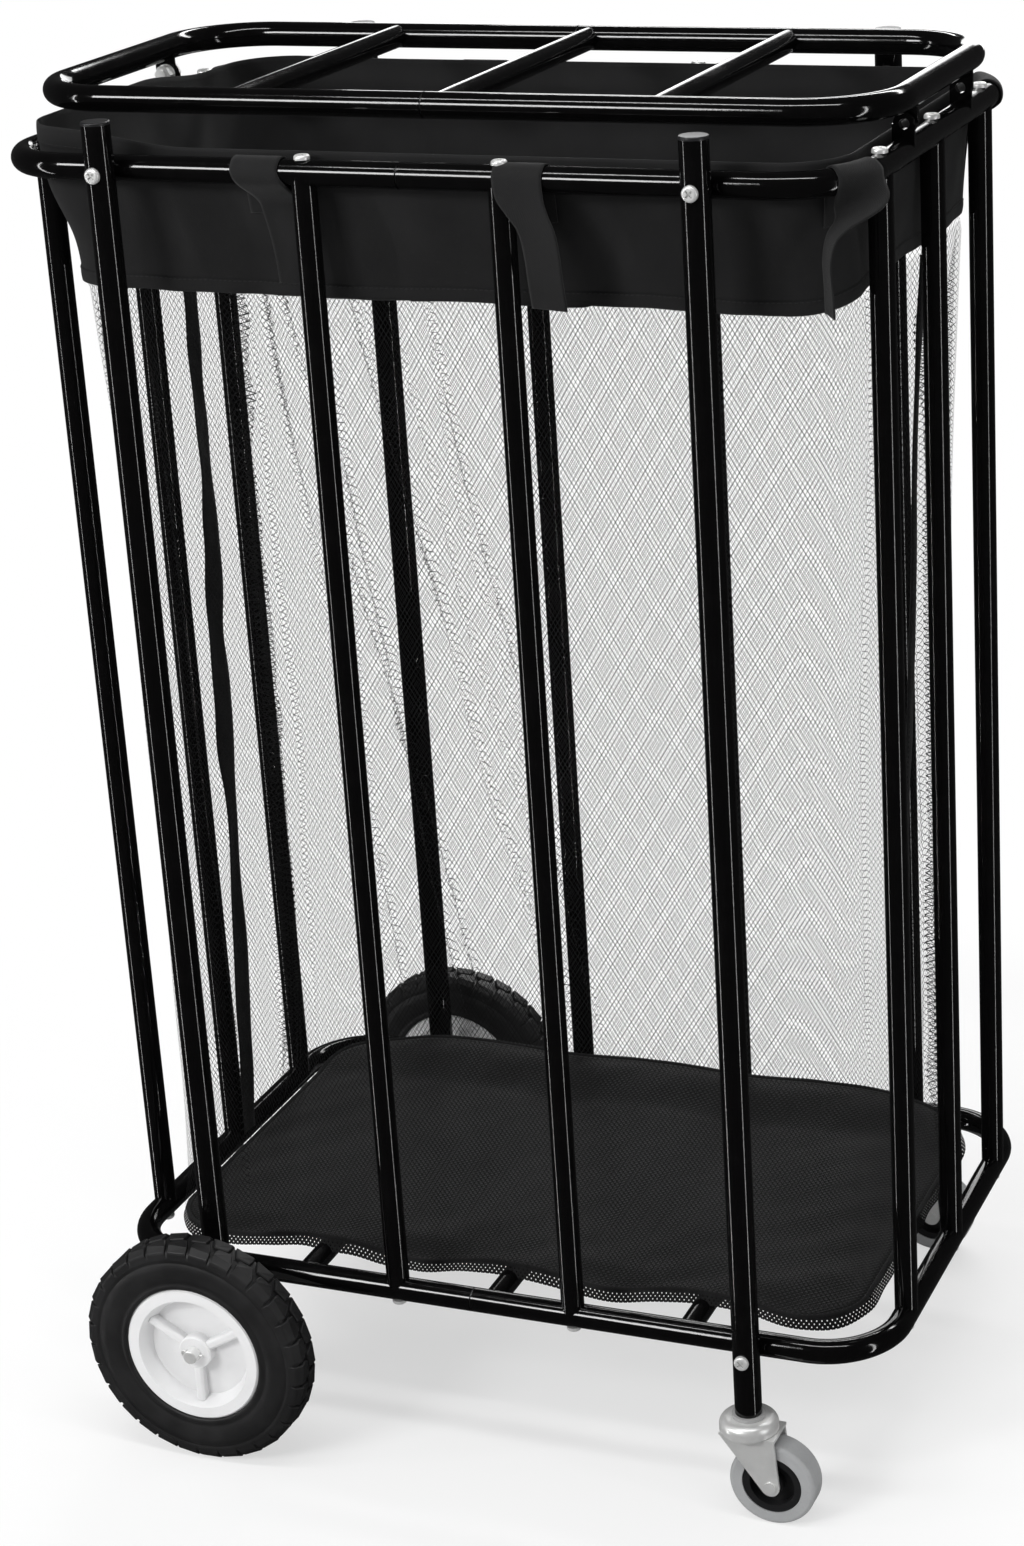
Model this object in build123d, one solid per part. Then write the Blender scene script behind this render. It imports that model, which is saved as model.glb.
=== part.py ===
from build123d import *
import math
import os

# Rolling lidded mesh hamper: a round-tube cage on two big wheels and two swivel casters, a net bag hung
# inside it and a hinged tube lid. Millimetres, +X along the length towards the casters, +Y to the back,
# +Z up. The origin is on the floor, under the middle of the cage.

# --- driving dimensions: cage ---
frame_length = 674.0  # between the end rails' centre lines
frame_depth = 415.0  # between the front and rear rails' centre lines
bottom_rim_z = 145.0
top_rim_z = 1072.0
rim_d = 20.0
rim_wall = 1.5
rim_corner_r = 60.0  # to the tube's centre line
top_seam_x = 0.0
bottom_seam_x = -10.0
seam_gap = 1.2
plug_length = 60.0
plug_wall = 1.2

# --- legs and bars ---
leg_d = 22.0
leg_wall = 1.5
leg_spacing = 468.0  # along X
leg_rise = 36.0  # of the tube above the top rim's centre line
bar_d = 19.0
bar_wall = 1.2
mid_bar_spacing = 156.0
end_bar_pitch = 131.0
cross_bar_d = 18.0
cross_bar_pitch = 170.0
cross_bar_offset = 6.0  # the middle cross bar stands clear of the plugged seams
cap_lip = 2.5
cap_depth = 10.0

# --- fasteners ---
screw_d = 6.0
screw_head_d = 12.0
screw_head_h = 3.6
recess_width = 1.4
recess_length = 6.4
recess_depth = 1.6
insert_length = 14.0
leg_insert_d = 9.0
leg_insert_length = 12.0
screw_end_gap = 1.0

# --- lid ---
lid_overhang = 4.0  # how far the lid stands out past the cage at each end
lid_length = frame_length + 2 * lid_overhang
lid_setback = 56.0  # how far the lid's long rails stand inside the cage's
lid_depth = frame_depth - 2 * lid_setback
lid_offset_y = 2.5
lid_rise = 40.0  # lid rail above the top rim, centre line to centre line
lid_corner_r = 66.0
lid_seam_x = -4.0
lid_opening_limit = 104.0
tab_width = 20.0
tab_thickness = 3.0
tab_pitch = 148.0  # between the front and rear tabs
pivot_rise = 20.0  # hinge bolt above the top rim's centre line
hinge_bolt_d = 8.0
hex_af = 13.0
hex_h = 6.0
washer_d = 16.0
washer_h = 1.6

# --- big wheels ---
wheel_d = 200.0
wheel_width = 34.0
wheel_plane = 270.0  # wheel's middle plane from the cage's middle plane
hub_d = 122.0
hub_width = 31.0
hub_rim_wall = 11.0
hub_slope = 6.0  # between the rim's flat face and the dish, along the radius
hub_web = 4.0
hub_boss_d = 29.0
hub_boss_width = 24.0
spoke_width = 8.0
spoke_height = 8.0
spoke_count = 3
axle_d = 12.0
axle_head_d = 18.0
axle_head_h = 3.0
axle_end = 9.0  # beyond the hub's boss
axle_pin_d = 2.0
axle_pin_spare = 5.0  # how much longer the pin is than the axle is thick
axle_pin_length = axle_d + axle_pin_spare
spacer_d = 18.0
tyre_shoulder_r = 7.0
lug_count = 30
lug_gap = 6.0
lug_depth = 4.0
lug_reach = 9.0  # from the tyre's side inwards

# --- casters ---
caster_d = 72.0
caster_width = 23.0
caster_tread = 11.0
caster_rim_wall = 6.0
caster_trail = 21.0
caster_hub_boss_d = 18.0
caster_axle_d = 8.0
caster_axle_head_d = 10.0
caster_axle_head_h = 1.2
caster_stem_d = 11.0
caster_stem_length = 38.0
caster_stem_head_d = 17.0
caster_stem_head_h = 1.5
fork_plate = 2.5
fork_gap = 26.0
fork_crown_d = 43.0
fork_crown_z = 77.0  # underside of the crown above the floor
fork_eye_r = 7.8
fork_front = 21.0  # the side plates' reach ahead of and behind the swivel line
fork_back = 25.0
fork_shelf = 26.0
cap_d = 48.0
cap_h = 11.0
cap_wall = 2.0
ball_d = 4.0
ball_count = 16
ball_track_d = 34.0
socket_flange_d = 27.0
socket_flange_h = 3.0

# --- bag ---
cloth = 1.5
band_clearance = 3.5  # between a rail's inner face and the band
band_height = 115.0
band_rise = 15.0  # of the band's top edge above the rim's centre line
bag_end_inset = 30.0  # from the cage's centre line in to the bottom panel
bag_side_inset = 35.5
bag_bottom_length = frame_length - 2 * bag_end_inset
bag_bottom_depth = frame_depth - 2 * bag_side_inset
bag_bottom_offset = -7.0  # the panel hangs a little towards the large wheels
band_taper = 14.0  # how far the band's lower edge hangs inside its upper edge, each side
bag_bottom_corner_r = 48.0
bag_bottom_thickness = 2.0
strap_width = 38.0
strap_thickness = 1.6
strap_tail = 92.0
front_strap_x = (-113.0, 95.0)
end_strap_y = 38.0

# --- named clearances ---
fit_gap = 0.05  # saddle cuts, plugs and inserts
run_gap = 0.05  # shafts in their bores, radial
side_gap = 0.4  # beside a turning piece
cloth_gap = 0.3
screw_play = 0.2

# --- places worked out from the above ---
half_length = frame_length / 2
half_depth = frame_depth / 2
rim_r = rim_d / 2
leg_r = leg_d / 2
bar_r = bar_d / 2
leg_y = half_depth + rim_r + leg_r + fit_gap
leg_x = leg_spacing / 2
mid_x = mid_bar_spacing / 2
wheel_r = wheel_d / 2
lid_z = top_rim_z + lid_rise
pivot_z = top_rim_z + pivot_rise
pivot_x = half_length + lid_overhang / 2
tab_y = tab_pitch / 2
leg_top = top_rim_z + leg_rise
caster_r = caster_d / 2
cap_top = fork_crown_z + fork_plate + side_gap + cap_h
right_leg_bottom = cap_top + socket_flange_h + 2 * fit_gap
SIDES = (-1, 1)
CROSS_BAR_X = [cross_bar_offset + step * cross_bar_pitch for step in (-1, 0, 1)]
END_BAR_Y = [step * end_bar_pitch for step in (-1, 0, 1)]
# every upright bar between the rims: x, y and whether its rail runs along X
FRONT_BARS = [(sx * mid_x, -half_depth, True) for sx in SIDES]
REAR_BARS = [(sx * mid_x, half_depth, True) for sx in SIDES]
LEFT_BARS = [(-half_length, y, False) for y in END_BAR_Y]
RIGHT_BARS = [(half_length, y, False) for y in END_BAR_Y]
ALL_BARS = FRONT_BARS + REAR_BARS + LEFT_BARS + RIGHT_BARS


def rod(radius, start, end):
    """A round bar from one point to another."""
    a, b = Vector(*start), Vector(*end)
    along = b - a
    return extrude(Plane(origin=a, z_dir=along) * Circle(radius), along.length)


def rod_x(radius, x0, x1, y, z):
    return rod(radius, (x0, y, z), (x1, y, z))


def rod_y(radius, y0, y1, x, z):
    return rod(radius, (x, y0, z), (x, y1, z))


def rod_z(radius, z0, z1, x=0.0, y=0.0):
    return rod(radius, (x, y, z0), (x, y, z1))


def half_loop(length, depth, corner_r, seam_x, side, tube_d, wall, z, offset_y=0.0):
    """One bent half of a rounded-rectangle loop of tube, from the seam round one end."""
    start = seam_x + side * seam_gap / 2
    end = side * length / 2
    points = [
        (start, offset_y - depth / 2, z),
        (end, offset_y - depth / 2, z),
        (end, offset_y + depth / 2, z),
        (start, offset_y + depth / 2, z),
    ]
    path = FilletPolyline(*points, radius=corner_r)
    mouth = Plane(origin=path @ 0, z_dir=path % 0)
    outer = sweep(mouth * Circle(tube_d / 2), path=path)
    inner = sweep(mouth * Circle(tube_d / 2 - wall), path=path)
    return outer - inner


def seam_plugs(depth, seam_x, z, offset_y=0.0):
    """The short inner tubes that join two half loops, one in each long rail."""
    plug_r = rim_r - rim_wall - fit_gap
    x0, x1 = seam_x - plug_length / 2, seam_x + plug_length / 2
    made = []
    for side in SIDES:
        y = offset_y + side * depth / 2
        made.append(rod_x(plug_r, x0, x1, y, z) - rod_x(plug_r - plug_wall, x0 - 1, x1 + 1, y, z))
    return made


def pan_screw(length):
    """A pan-head screw with a cross recess, head up, seated at z = 0 with its shank below."""
    head = rod_z(screw_head_d / 2, 0, screw_head_h)
    head = fillet(head.edges().group_by(Axis.Z)[-1], screw_head_h * 0.6)
    for angle in (0, 90):
        slot = Box(recess_length, recess_width, 2 * recess_depth)
        head -= Pos(0, 0, screw_head_h) * Rot(0, 0, angle + 45) * slot
    return head + rod_z(screw_d / 2, -length, 0)


def hex_prism(across_flats, height, bore_r):
    """A hexagon nut along Z, seated at z = 0."""
    corner_r = across_flats / math.sqrt(3)
    body = extrude(RegularPolygon(corner_r, 6), height)
    chamfered = body & Cone(corner_r + height, corner_r * 0.93, height, align=(Align.CENTER, Align.CENTER, Align.MIN))
    return chamfered - rod_z(bore_r, -1, height + 1)


def rail_cut(x, y, z, along_x, radius):
    """The space that a rail takes where a bar meets it."""
    reach = bar_d
    if along_x:
        return rod_x(radius, x - reach, x + reach, y, z)
    return rod_y(radius, y - reach, y + reach, x, z)


def upright_bar(x, y, along_x):
    """A bar between the two rims, its ends saddle-cut to fit the round rails."""
    tube = rod_z(bar_r, bottom_rim_z, top_rim_z, x, y) - rod_z(bar_r - bar_wall, 0, leg_top, x, y)
    for z in (bottom_rim_z, top_rim_z):
        tube -= rail_cut(x, y, z, along_x, rim_r + fit_gap)
    return tube


def rim_with_holes(rim, z, insert_face):
    """Drills a rim for the bar screws and for the leg screws' inserts."""
    for x, y, _ in ALL_BARS:
        rim -= rod_z(screw_d / 2 + screw_play, z - rim_d, z + rim_d, x, y)
    for sx in SIDES:
        for sy in SIDES:
            inner_y, outer_y = sy * half_depth, sy * (half_depth + insert_face)
            rim -= rod_y(leg_insert_d / 2 + fit_gap, inner_y, outer_y, sx * leg_x, z)
    return rim


def make_rims():
    made = {}
    for name, z, seam in (("top", top_rim_z, top_seam_x), ("bottom", bottom_rim_z, bottom_seam_x)):
        for side, word in ((-1, "left"), (1, "right")):
            loop = half_loop(frame_length, frame_depth, rim_corner_r, seam, side, rim_d, rim_wall, z)
            made[f"{name}_rim_{word}"] = rim_with_holes(loop, z, rim_d)
    plugs = seam_plugs(frame_depth, top_seam_x, top_rim_z)
    plugs += seam_plugs(frame_depth, bottom_seam_x, bottom_rim_z)
    made["rim_plugs"] = plugs
    return made


def cross_bars(depth, z, offset_y=0.0):
    """Three thin bars across a loop, welded between its long rails."""
    made = []
    for x in CROSS_BAR_X:
        y0, y1 = offset_y - depth / 2, offset_y + depth / 2
        bar = rod_y(cross_bar_d / 2, y0, y1, x, z)
        for y in (y0, y1):
            bar -= rod_x(rim_r + fit_gap, x - bar_d, x + bar_d, y, z)
        made.append(bar)
    return made


def leg(sx, sy, bottom):
    x, y = sx * leg_x, sy * leg_y
    tube = rod_z(leg_r, bottom, leg_top, x, y) - rod_z(leg_r - leg_wall, bottom - 1, leg_top + 1, x, y)
    for z in (bottom_rim_z, top_rim_z):
        tube -= rod_y(screw_d / 2 + screw_play, y - leg_d, y + leg_d, x, z)
    return tube


def make_legs():
    made = {}
    for sy, where in ((-1, "front"), (1, "rear")):
        left = leg(-1, sy, wheel_r - axle_d - 2)
        left -= rod_y(axle_d / 2 + fit_gap, sy * leg_y - leg_d, sy * leg_y + leg_d, -leg_x, wheel_r)
        made[f"leg_{where}_left"] = left
        made[f"leg_{where}_right"] = leg(1, sy, right_leg_bottom)
    return made


def leg_caps():
    """Push-in end caps on the legs' tops."""
    made = []
    for sx in SIDES:
        for sy in SIDES:
            x, y = sx * leg_x, sy * leg_y
            lip = rod_z(leg_r, leg_top, leg_top + cap_lip, x, y)
            lip = fillet(lip.edges().group_by(Axis.Z)[-1], cap_lip * 0.45)
            plug = rod_z(leg_r - leg_wall - fit_gap, leg_top - cap_depth, leg_top, x, y)
            made.append(lip + plug)
    return made


def make_bars():
    groups = {"front_bars": FRONT_BARS, "rear_bars": REAR_BARS, "left_bars": LEFT_BARS, "right_bars": RIGHT_BARS}
    return {name: [upright_bar(*bar) for bar in bars] for name, bars in groups.items()}


def bar_fasteners():
    """Threaded plugs in the bars' ends, and the screws that hold them to both rims."""
    inserts, screws = [], []
    for x, y, _ in ALL_BARS:
        for z, up in ((top_rim_z, 1), (bottom_rim_z, -1)):
            near = z - up * (rim_r + 2 * fit_gap)
            far = near - up * insert_length
            plug = rod_z(bar_r - bar_wall - fit_gap, min(near, far), max(near, far), x, y)
            inserts.append(plug - rod_z(screw_d / 2 + fit_gap, near - 30, near + 30, x, y))
            screw = pan_screw(rim_d + insert_length - screw_end_gap)
            if up < 0:
                screw = Rot(180, 0, 0) * screw
            screws.append(Pos(x, y, z + up * rim_r) * screw)
    return {"bar_inserts": inserts, "bar_screws": screws}


def leg_fasteners():
    """Screws through the legs into threaded inserts in the rails."""
    inserts, screws = [], []
    for sx in SIDES:
        for sy in SIDES:
            for z in (top_rim_z, bottom_rim_z):
                near = sy * (half_depth + rim_r - rim_wall / 2)
                far = near - sy * leg_insert_length
                x = sx * leg_x
                plug = rod_y(leg_insert_d / 2, near, far, x, z)
                inserts.append(plug - rod_y(screw_d / 2 + fit_gap, near + sy, far - sy, x, z))
                reach = leg_d + rim_wall / 2 + leg_insert_length - screw_end_gap
                turned = Rot(-sy * 90, 0, 0) * pan_screw(reach)
                screws.append(Pos(x, sy * (leg_y + leg_r), z) * turned)
    return {"leg_inserts": inserts, "leg_screws": screws}


def make_axles():
    """Headed stub axles through the left legs, with a spacer inside and a split pin outside each wheel."""
    axles, spacers, pins = [], [], []
    boss_face = wheel_plane + hub_boss_width / 2
    for sy in SIDES:
        inner, outer = leg_y - leg_r - fit_gap, boss_face + axle_end
        shaft = rod_y(axle_d / 2, sy * inner, sy * outer, -leg_x, wheel_r)
        shaft = chamfer(shaft.edges().filter_by(GeomType.CIRCLE).sort_by(Axis.Y)[0 if sy < 0 else -1], 0.8)
        shaft += rod_y(axle_head_d / 2, sy * (inner - axle_head_h), sy * inner, -leg_x, wheel_r)
        pin_y = sy * (boss_face + side_gap + axle_pin_d / 2 + 1)
        shaft -= rod_x(axle_pin_d / 2 + fit_gap, -leg_x - axle_d, -leg_x + axle_d, pin_y, wheel_r)
        axles.append(shaft)
        near, far = leg_y + leg_r + fit_gap, wheel_plane - hub_boss_width / 2 - side_gap
        tube = rod_y(spacer_d / 2, sy * near, sy * far, -leg_x, wheel_r)
        spacers.append(tube - rod_y(axle_d / 2 + run_gap, sy * (near - 1), sy * (far + 1), -leg_x, wheel_r))
        half = axle_pin_length / 2
        pin = rod_x(axle_pin_d / 2, -leg_x - half, -leg_x + half, pin_y, wheel_r)
        eye = Pos(-leg_x - half, pin_y, wheel_r) * Rot(90, 0, 0) * ring(axle_pin_d * 1.2, axle_pin_d * 0.5, 1)
        pins.append(pin + eye)
    return {"wheel_axles": axles, "axle_spacers": spacers, "axle_pins": pins}


def ring(outer_r, inner_r, half_width):
    """A flat ring about Z, centred on z = 0."""
    return rod_z(outer_r, -half_width, half_width) - rod_z(inner_r, -half_width - 1, half_width + 1)


def wheel_hub():
    """Moulded three-spoke hub about Z, dished on both faces round its boss."""
    bore, boss, rim = axle_d / 2 + run_gap, hub_boss_d / 2, hub_d / 2
    flat = rim - hub_rim_wall
    half, deep, long = hub_width / 2, hub_web / 2, hub_boss_width / 2
    upper = [(bore, long), (boss - 1, long), (boss, long - 1), (boss, deep), (flat - hub_slope, deep)]
    upper += [(flat, half), (rim - 2, half), (rim, half - 2)]
    lower = [(r, -z) for r, z in reversed(upper)]
    section = Plane.XZ * make_face(Polyline(*upper, *lower, close=True))
    hub = revolve(section, Axis.Z)
    inner, outer = boss - 1, flat - hub_slope / 2
    for i in range(spoke_count):
        for side in SIDES:
            spoke = Box(outer - inner, spoke_width, spoke_height + 1)
            spoke = fillet(spoke.edges().filter_by(Axis.X).group_by(Axis.Z)[-1], spoke_width * 0.35)
            if side < 0:
                spoke = Rot(180, 0, 0) * spoke
            shift = Pos((inner + outer) / 2, 0, side * (deep + spoke_height / 2 - 0.5))
            hub += Rot(0, 0, 30 + i * 360 / spoke_count) * shift * spoke
    return hub


def tyre():
    """Solid rubber tyre about Z with rounded shoulders and a row of gaps between lugs at each side."""
    blank = rod_z(wheel_r, -wheel_width / 2, wheel_width / 2)
    blank = fillet(blank.edges(), tyre_shoulder_r)
    body = blank - rod_z(hub_d / 2 + fit_gap, -wheel_width, wheel_width)
    step = 360 / lug_count
    gaps = []
    for side in SIDES:
        for i in range(lug_count):
            gap = Pos(wheel_r, 0, side * wheel_width / 2) * Box(2 * lug_depth, lug_gap, 2 * lug_reach)
            gaps.append(Rot(0, 0, (i + (0.25 if side > 0 else -0.25)) * step) * gap)
    return body - gaps


def make_wheels():
    made = {}
    hub, rubber = wheel_hub(), tyre()
    for sy, where in ((-1, "front"), (1, "rear")):
        place = Pos(-leg_x, sy * wheel_plane, wheel_r) * Rot(-sy * 90, 0, 0)
        made[f"wheel_hub_{where}"] = place * hub
        made[f"wheel_tyre_{where}"] = place * rubber
    return made


def fork():
    """Pressed caster fork: a crown with a rear shelf and two swept side plates down to the wheel's axle."""
    top = fork_crown_z + fork_plate
    crown = rod_z(fork_crown_d / 2, fork_crown_z, top)
    width = fork_gap + 2 * fork_plate
    shelf = Pos(fork_shelf / 2, 0, (fork_crown_z + top) / 2) * Box(fork_shelf, width, fork_plate)
    whole = crown + shelf
    whole -= rod_z(caster_stem_d / 2 + run_gap, fork_crown_z - 5, top + 5)
    eye = Pos(caster_trail, caster_r) * Circle(fork_eye_r)
    brow = Line((-fork_front, top), (fork_back, top))
    side_plate = make_hull([eye.edge(), brow])
    for sy in SIDES:
        plate = extrude(Plane.XZ * side_plate, fork_plate / 2, both=True)
        y = sy * (fork_gap + fork_plate) / 2
        plate = Pos(0, y, 0) * plate
        plate -= rod_y(caster_axle_d / 2 + fit_gap, y - 9, y + 9, caster_trail, caster_r)
        whole += plate
    return whole


def caster_axle():
    """Riveted caster axle, headed on both sides."""
    half = fork_gap / 2 + fork_plate
    pin = rod_y(caster_axle_d / 2, -half, half, caster_trail, caster_r)
    for sy in SIDES:
        pin += rod_y(caster_axle_head_d / 2, sy * half, sy * (half + caster_axle_head_h), caster_trail, caster_r)
    return pin


def caster_hub():
    """Black moulded caster hub about Z, recessed on both sides round its boss."""
    rim_out = caster_r - caster_tread
    half = caster_width / 2
    hub = ring(rim_out, rim_out - caster_rim_wall, half - 1) + ring(caster_hub_boss_d / 2, caster_axle_d / 2 + run_gap, half)
    return hub + ring(rim_out - 1, caster_hub_boss_d / 2 - 1, 3)


def caster_tyre():
    blank = rod_z(caster_r, -caster_width / 2, caster_width / 2)
    blank = fillet(blank.edges(), 3.5)
    return blank - rod_z(caster_r - caster_tread + fit_gap, -caster_width, caster_width)


def caster_balls():
    z = fork_crown_z + fork_plate + ball_d / 2 + fit_gap
    made = []
    for i in range(ball_count):
        angle = i * 2 * math.pi / ball_count
        x, y = ball_track_d / 2 * math.cos(angle), ball_track_d / 2 * math.sin(angle)
        made.append(Pos(x, y, z) * Sphere(ball_d / 2))
    return made


def caster_stem():
    """Stem headed under the fork's crown, carrying a fixed domed cap over the ball race."""
    head_top = fork_crown_z - side_gap / 2
    stem = rod_z(caster_stem_d / 2, head_top - caster_stem_head_h, right_leg_bottom + caster_stem_length)
    stem += rod_z(caster_stem_head_d / 2, head_top - caster_stem_head_h, head_top)
    skirt = cap_top - cap_h
    cap = rod_z(cap_d / 2, skirt, cap_top)
    cap = fillet(cap.edges().group_by(Axis.Z)[-1], cap_h * 0.6)
    hollow = rod_z(cap_d / 2 - cap_wall, skirt - 1, fork_crown_z + fork_plate + ball_d + 2 * fit_gap)
    return stem + (cap - hollow)


def caster_socket():
    """Grey plastic sleeve in the leg's foot that grips the caster stem."""
    bottom = cap_top + fit_gap
    flange = rod_z(socket_flange_d / 2, bottom, bottom + socket_flange_h)
    sleeve = rod_z(leg_r - leg_wall - fit_gap, bottom, right_leg_bottom + caster_stem_length)
    return flange + sleeve - rod_z(caster_stem_d / 2 + fit_gap, bottom - 1, leg_top)


def make_casters():
    made = {}
    for sy, where in ((-1, "front"), (1, "rear")):
        at_leg = Pos(leg_x, sy * leg_y, 0)
        at_wheel = Pos(leg_x + caster_trail, sy * leg_y, caster_r) * Rot(90, 0, 0)
        made[f"caster_socket_{where}"] = at_leg * caster_socket()
        made[f"caster_stem_{where}"] = at_leg * caster_stem()
        made[f"caster_balls_{where}"] = [at_leg * ball for ball in caster_balls()]
        made[f"caster_fork_{where}"] = at_leg * fork()
        made[f"caster_axle_{where}"] = at_leg * caster_axle()
        made[f"caster_hub_{where}"] = at_wheel * caster_hub()
        made[f"caster_tyre_{where}"] = at_wheel * caster_tyre()
    return made


def tab(x, base_z, y0, y1, hole_r, rail_x):
    """A welded plate across Y, from a rail at base_z to a rounded end about the hinge line."""
    end_r = tab_width / 2 - 1.5
    plate = rod_y(end_r, y0, y1, x, pivot_z)
    body_z = (base_z + pivot_z) / 2
    plate += Pos((x + rail_x) / 2, (y0 + y1) / 2, body_z) * Box(2 * end_r, y1 - y0, abs(base_z - pivot_z))
    plate -= rod_y(rim_r + fit_gap, y0 - 5, y1 + 5, rail_x, base_z)
    return plate - rod_y(hole_r, y0 - 1, y1 + 1, x, pivot_z)


def make_tabs():
    """Hinge tabs on the left end and padlock tabs on the right end, on the lid and on the rim."""
    made = {"lid_hinge_tabs": [], "lid_lock_tabs": [], "rim_hinge_tabs": [], "rim_lock_tabs": []}
    for sx, kind, gap in ((-1, "hinge", 2 * run_gap), (1, "lock", side_gap)):
        hole_r = hinge_bolt_d / 2 + (run_gap if kind == "hinge" else 0.0)
        for sy in SIDES:
            inner, outer = tab_y - gap - tab_thickness, tab_y - gap
            y0, y1 = sorted((sy * inner, sy * outer))
            lid_rail = sx * lid_length / 2
            made[f"lid_{kind}_tabs"].append(tab(sx * pivot_x, lid_z, y0, y1, hole_r, lid_rail))
            y0, y1 = sorted((sy * tab_y, sy * (tab_y + tab_thickness)))
            made[f"rim_{kind}_tabs"].append(tab(sx * pivot_x, top_rim_z, y0, y1, hole_r, sx * half_length))
    return made


def hinge_hardware():
    """Bolt, washer and nut at each hinge tab, nuts facing the middle."""
    gap = 2 * run_gap
    bolts, washers, nuts = [], [], []
    washer_at = tab_y - gap - tab_thickness - gap
    nut_at = washer_at - washer_h
    for sy in SIDES:
        shank = rod_z(hinge_bolt_d / 2, -(hex_h + washer_h + 2 * tab_thickness + 2 * gap + 2), 0)
        head = hex_prism(hex_af, hex_h - 1, 0.01) + rod_z(2, 0, hex_h - 1)
        bolt = Rot(-sy * 90, 0, 0) * (head + shank)
        bolts.append(Pos(-pivot_x, sy * (tab_y + tab_thickness), pivot_z) * bolt)
        disc = rod_y(washer_d / 2, sy * nut_at, sy * washer_at, -pivot_x, pivot_z)
        washers.append(disc - rod_y(hinge_bolt_d / 2 + run_gap, sy * (nut_at - 1), sy * 99, -pivot_x, pivot_z))
        nut = Rot(sy * 90, 0, 0) * hex_prism(hex_af, hex_h, hinge_bolt_d / 2 + run_gap)
        nuts.append(Pos(-pivot_x, sy * nut_at, pivot_z) * nut)
    return {"hinge_bolts": bolts, "hinge_washers": washers, "hinge_nuts": nuts}


def make_lid():
    made = {}
    for side, word in ((-1, "left"), (1, "right")):
        made[f"lid_rail_{word}"] = half_loop(
            lid_length, lid_depth, lid_corner_r, lid_seam_x, side, rim_d, rim_wall, lid_z, lid_offset_y
        )
    made["lid_plugs"] = seam_plugs(lid_depth, lid_seam_x, lid_z, lid_offset_y)
    made["lid_cross_bars"] = cross_bars(lid_depth, lid_z, lid_offset_y)
    return made


def outline(length, depth, corner_r, z):
    return Pos(0, 0, z) * RectangleRounded(length, depth, corner_r)


def make_bag():
    """Fabric band, net walls and bottom panel, hung inside the cage."""
    top_length = frame_length - 2 * (rim_r + band_clearance)
    top_depth = frame_depth - 2 * (rim_r + band_clearance)
    top_corner = rim_corner_r - rim_r - band_clearance
    band_top = top_rim_z + band_rise
    band_bottom = band_top - band_height
    mid_length, mid_depth, mid_corner = top_length - 2 * band_taper, top_depth - 2 * band_taper, top_corner + 6
    outer = outline(mid_length, mid_depth, mid_corner, band_bottom)
    inner = outline(mid_length - 2 * cloth, mid_depth - 2 * cloth, mid_corner - cloth, band_bottom)
    band = loft([outer, outline(top_length, top_depth, top_corner, band_top)])
    band -= loft([inner, outline(top_length - 2 * cloth, top_depth - 2 * cloth, top_corner - cloth, band_top)])
    floor_z = bottom_rim_z + cross_bar_d / 2 + cloth_gap
    length, depth, corner = bag_bottom_length, bag_bottom_depth, bag_bottom_corner_r
    shift = Pos(bag_bottom_offset, 0, 0)
    panel = shift * extrude(outline(length, depth, corner, floor_z), bag_bottom_thickness)
    net_z = floor_z + bag_bottom_thickness
    shell = loft([shift * outline(length, depth, corner, net_z), outer])
    hollow = loft([shift * outline(length - 2 * cloth, depth - 2 * cloth, corner - cloth, net_z), inner])
    return {"bag_band": band, "bag_net": shell - hollow, "bag_bottom": panel}


def strap_ring(path):
    """A strap wrapped round a rail along a short path on its centre line."""
    mouth = Plane(origin=path @ 0, z_dir=path % 0)
    inner_r = rim_r + cloth_gap
    return sweep(mouth * Circle(inner_r + strap_thickness), path=path) - sweep(mouth * Circle(inner_r), path=path)


def make_straps():
    """Hook-and-loop straps that hang the band from the top rim."""
    made = []
    half = strap_width / 2
    for sy in SIDES:
        for x in front_strap_x:
            y = sy * half_depth
            strap = strap_ring(Line((x - half, y, top_rim_z), (x + half, y, top_rim_z)))
            for sx in SIDES:
                strap -= rod_z(bar_r + cloth_gap, 0, top_rim_z, sx * mid_x, y)
                strap -= rod_z(screw_head_d / 2 + cloth_gap, top_rim_z, leg_top, sx * mid_x, y)
            if x > 0 and sy < 0:
                front = y - rim_r - cloth_gap - strap_thickness / 2
                drop = Pos(x, front, top_rim_z - strap_tail / 2) * Box(strap_width, strap_thickness, strap_tail)
                strap += drop
            made.append(strap)
    centre_x, centre_y = half_length - rim_corner_r, half_depth - rim_corner_r
    half_angle = math.degrees(half / rim_corner_r)
    middle = 26.0
    for sx, sy in ((1, -1), (1, 1), (-1, 1)):
        start = {(1, -1): -middle, (1, 1): middle, (-1, 1): 180 - middle}[(sx, sy)] - half_angle
        path = CenterArc((sx * centre_x, sy * centre_y), rim_corner_r, start, 2 * half_angle)
        made.append(strap_ring(Pos(0, 0, top_rim_z) * path))
    y = end_strap_y
    made.append(strap_ring(Line((-half_length, y - half, top_rim_z), (-half_length, y + half, top_rim_z))))
    return made


def write(nodes):
    os.makedirs("parts", exist_ok=True)
    for name, shape in nodes.items():
        if isinstance(shape, list):
            shape = Compound(children=[piece.solid() for piece in shape])
        export_step(shape, f"parts/{name}.step")


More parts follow.
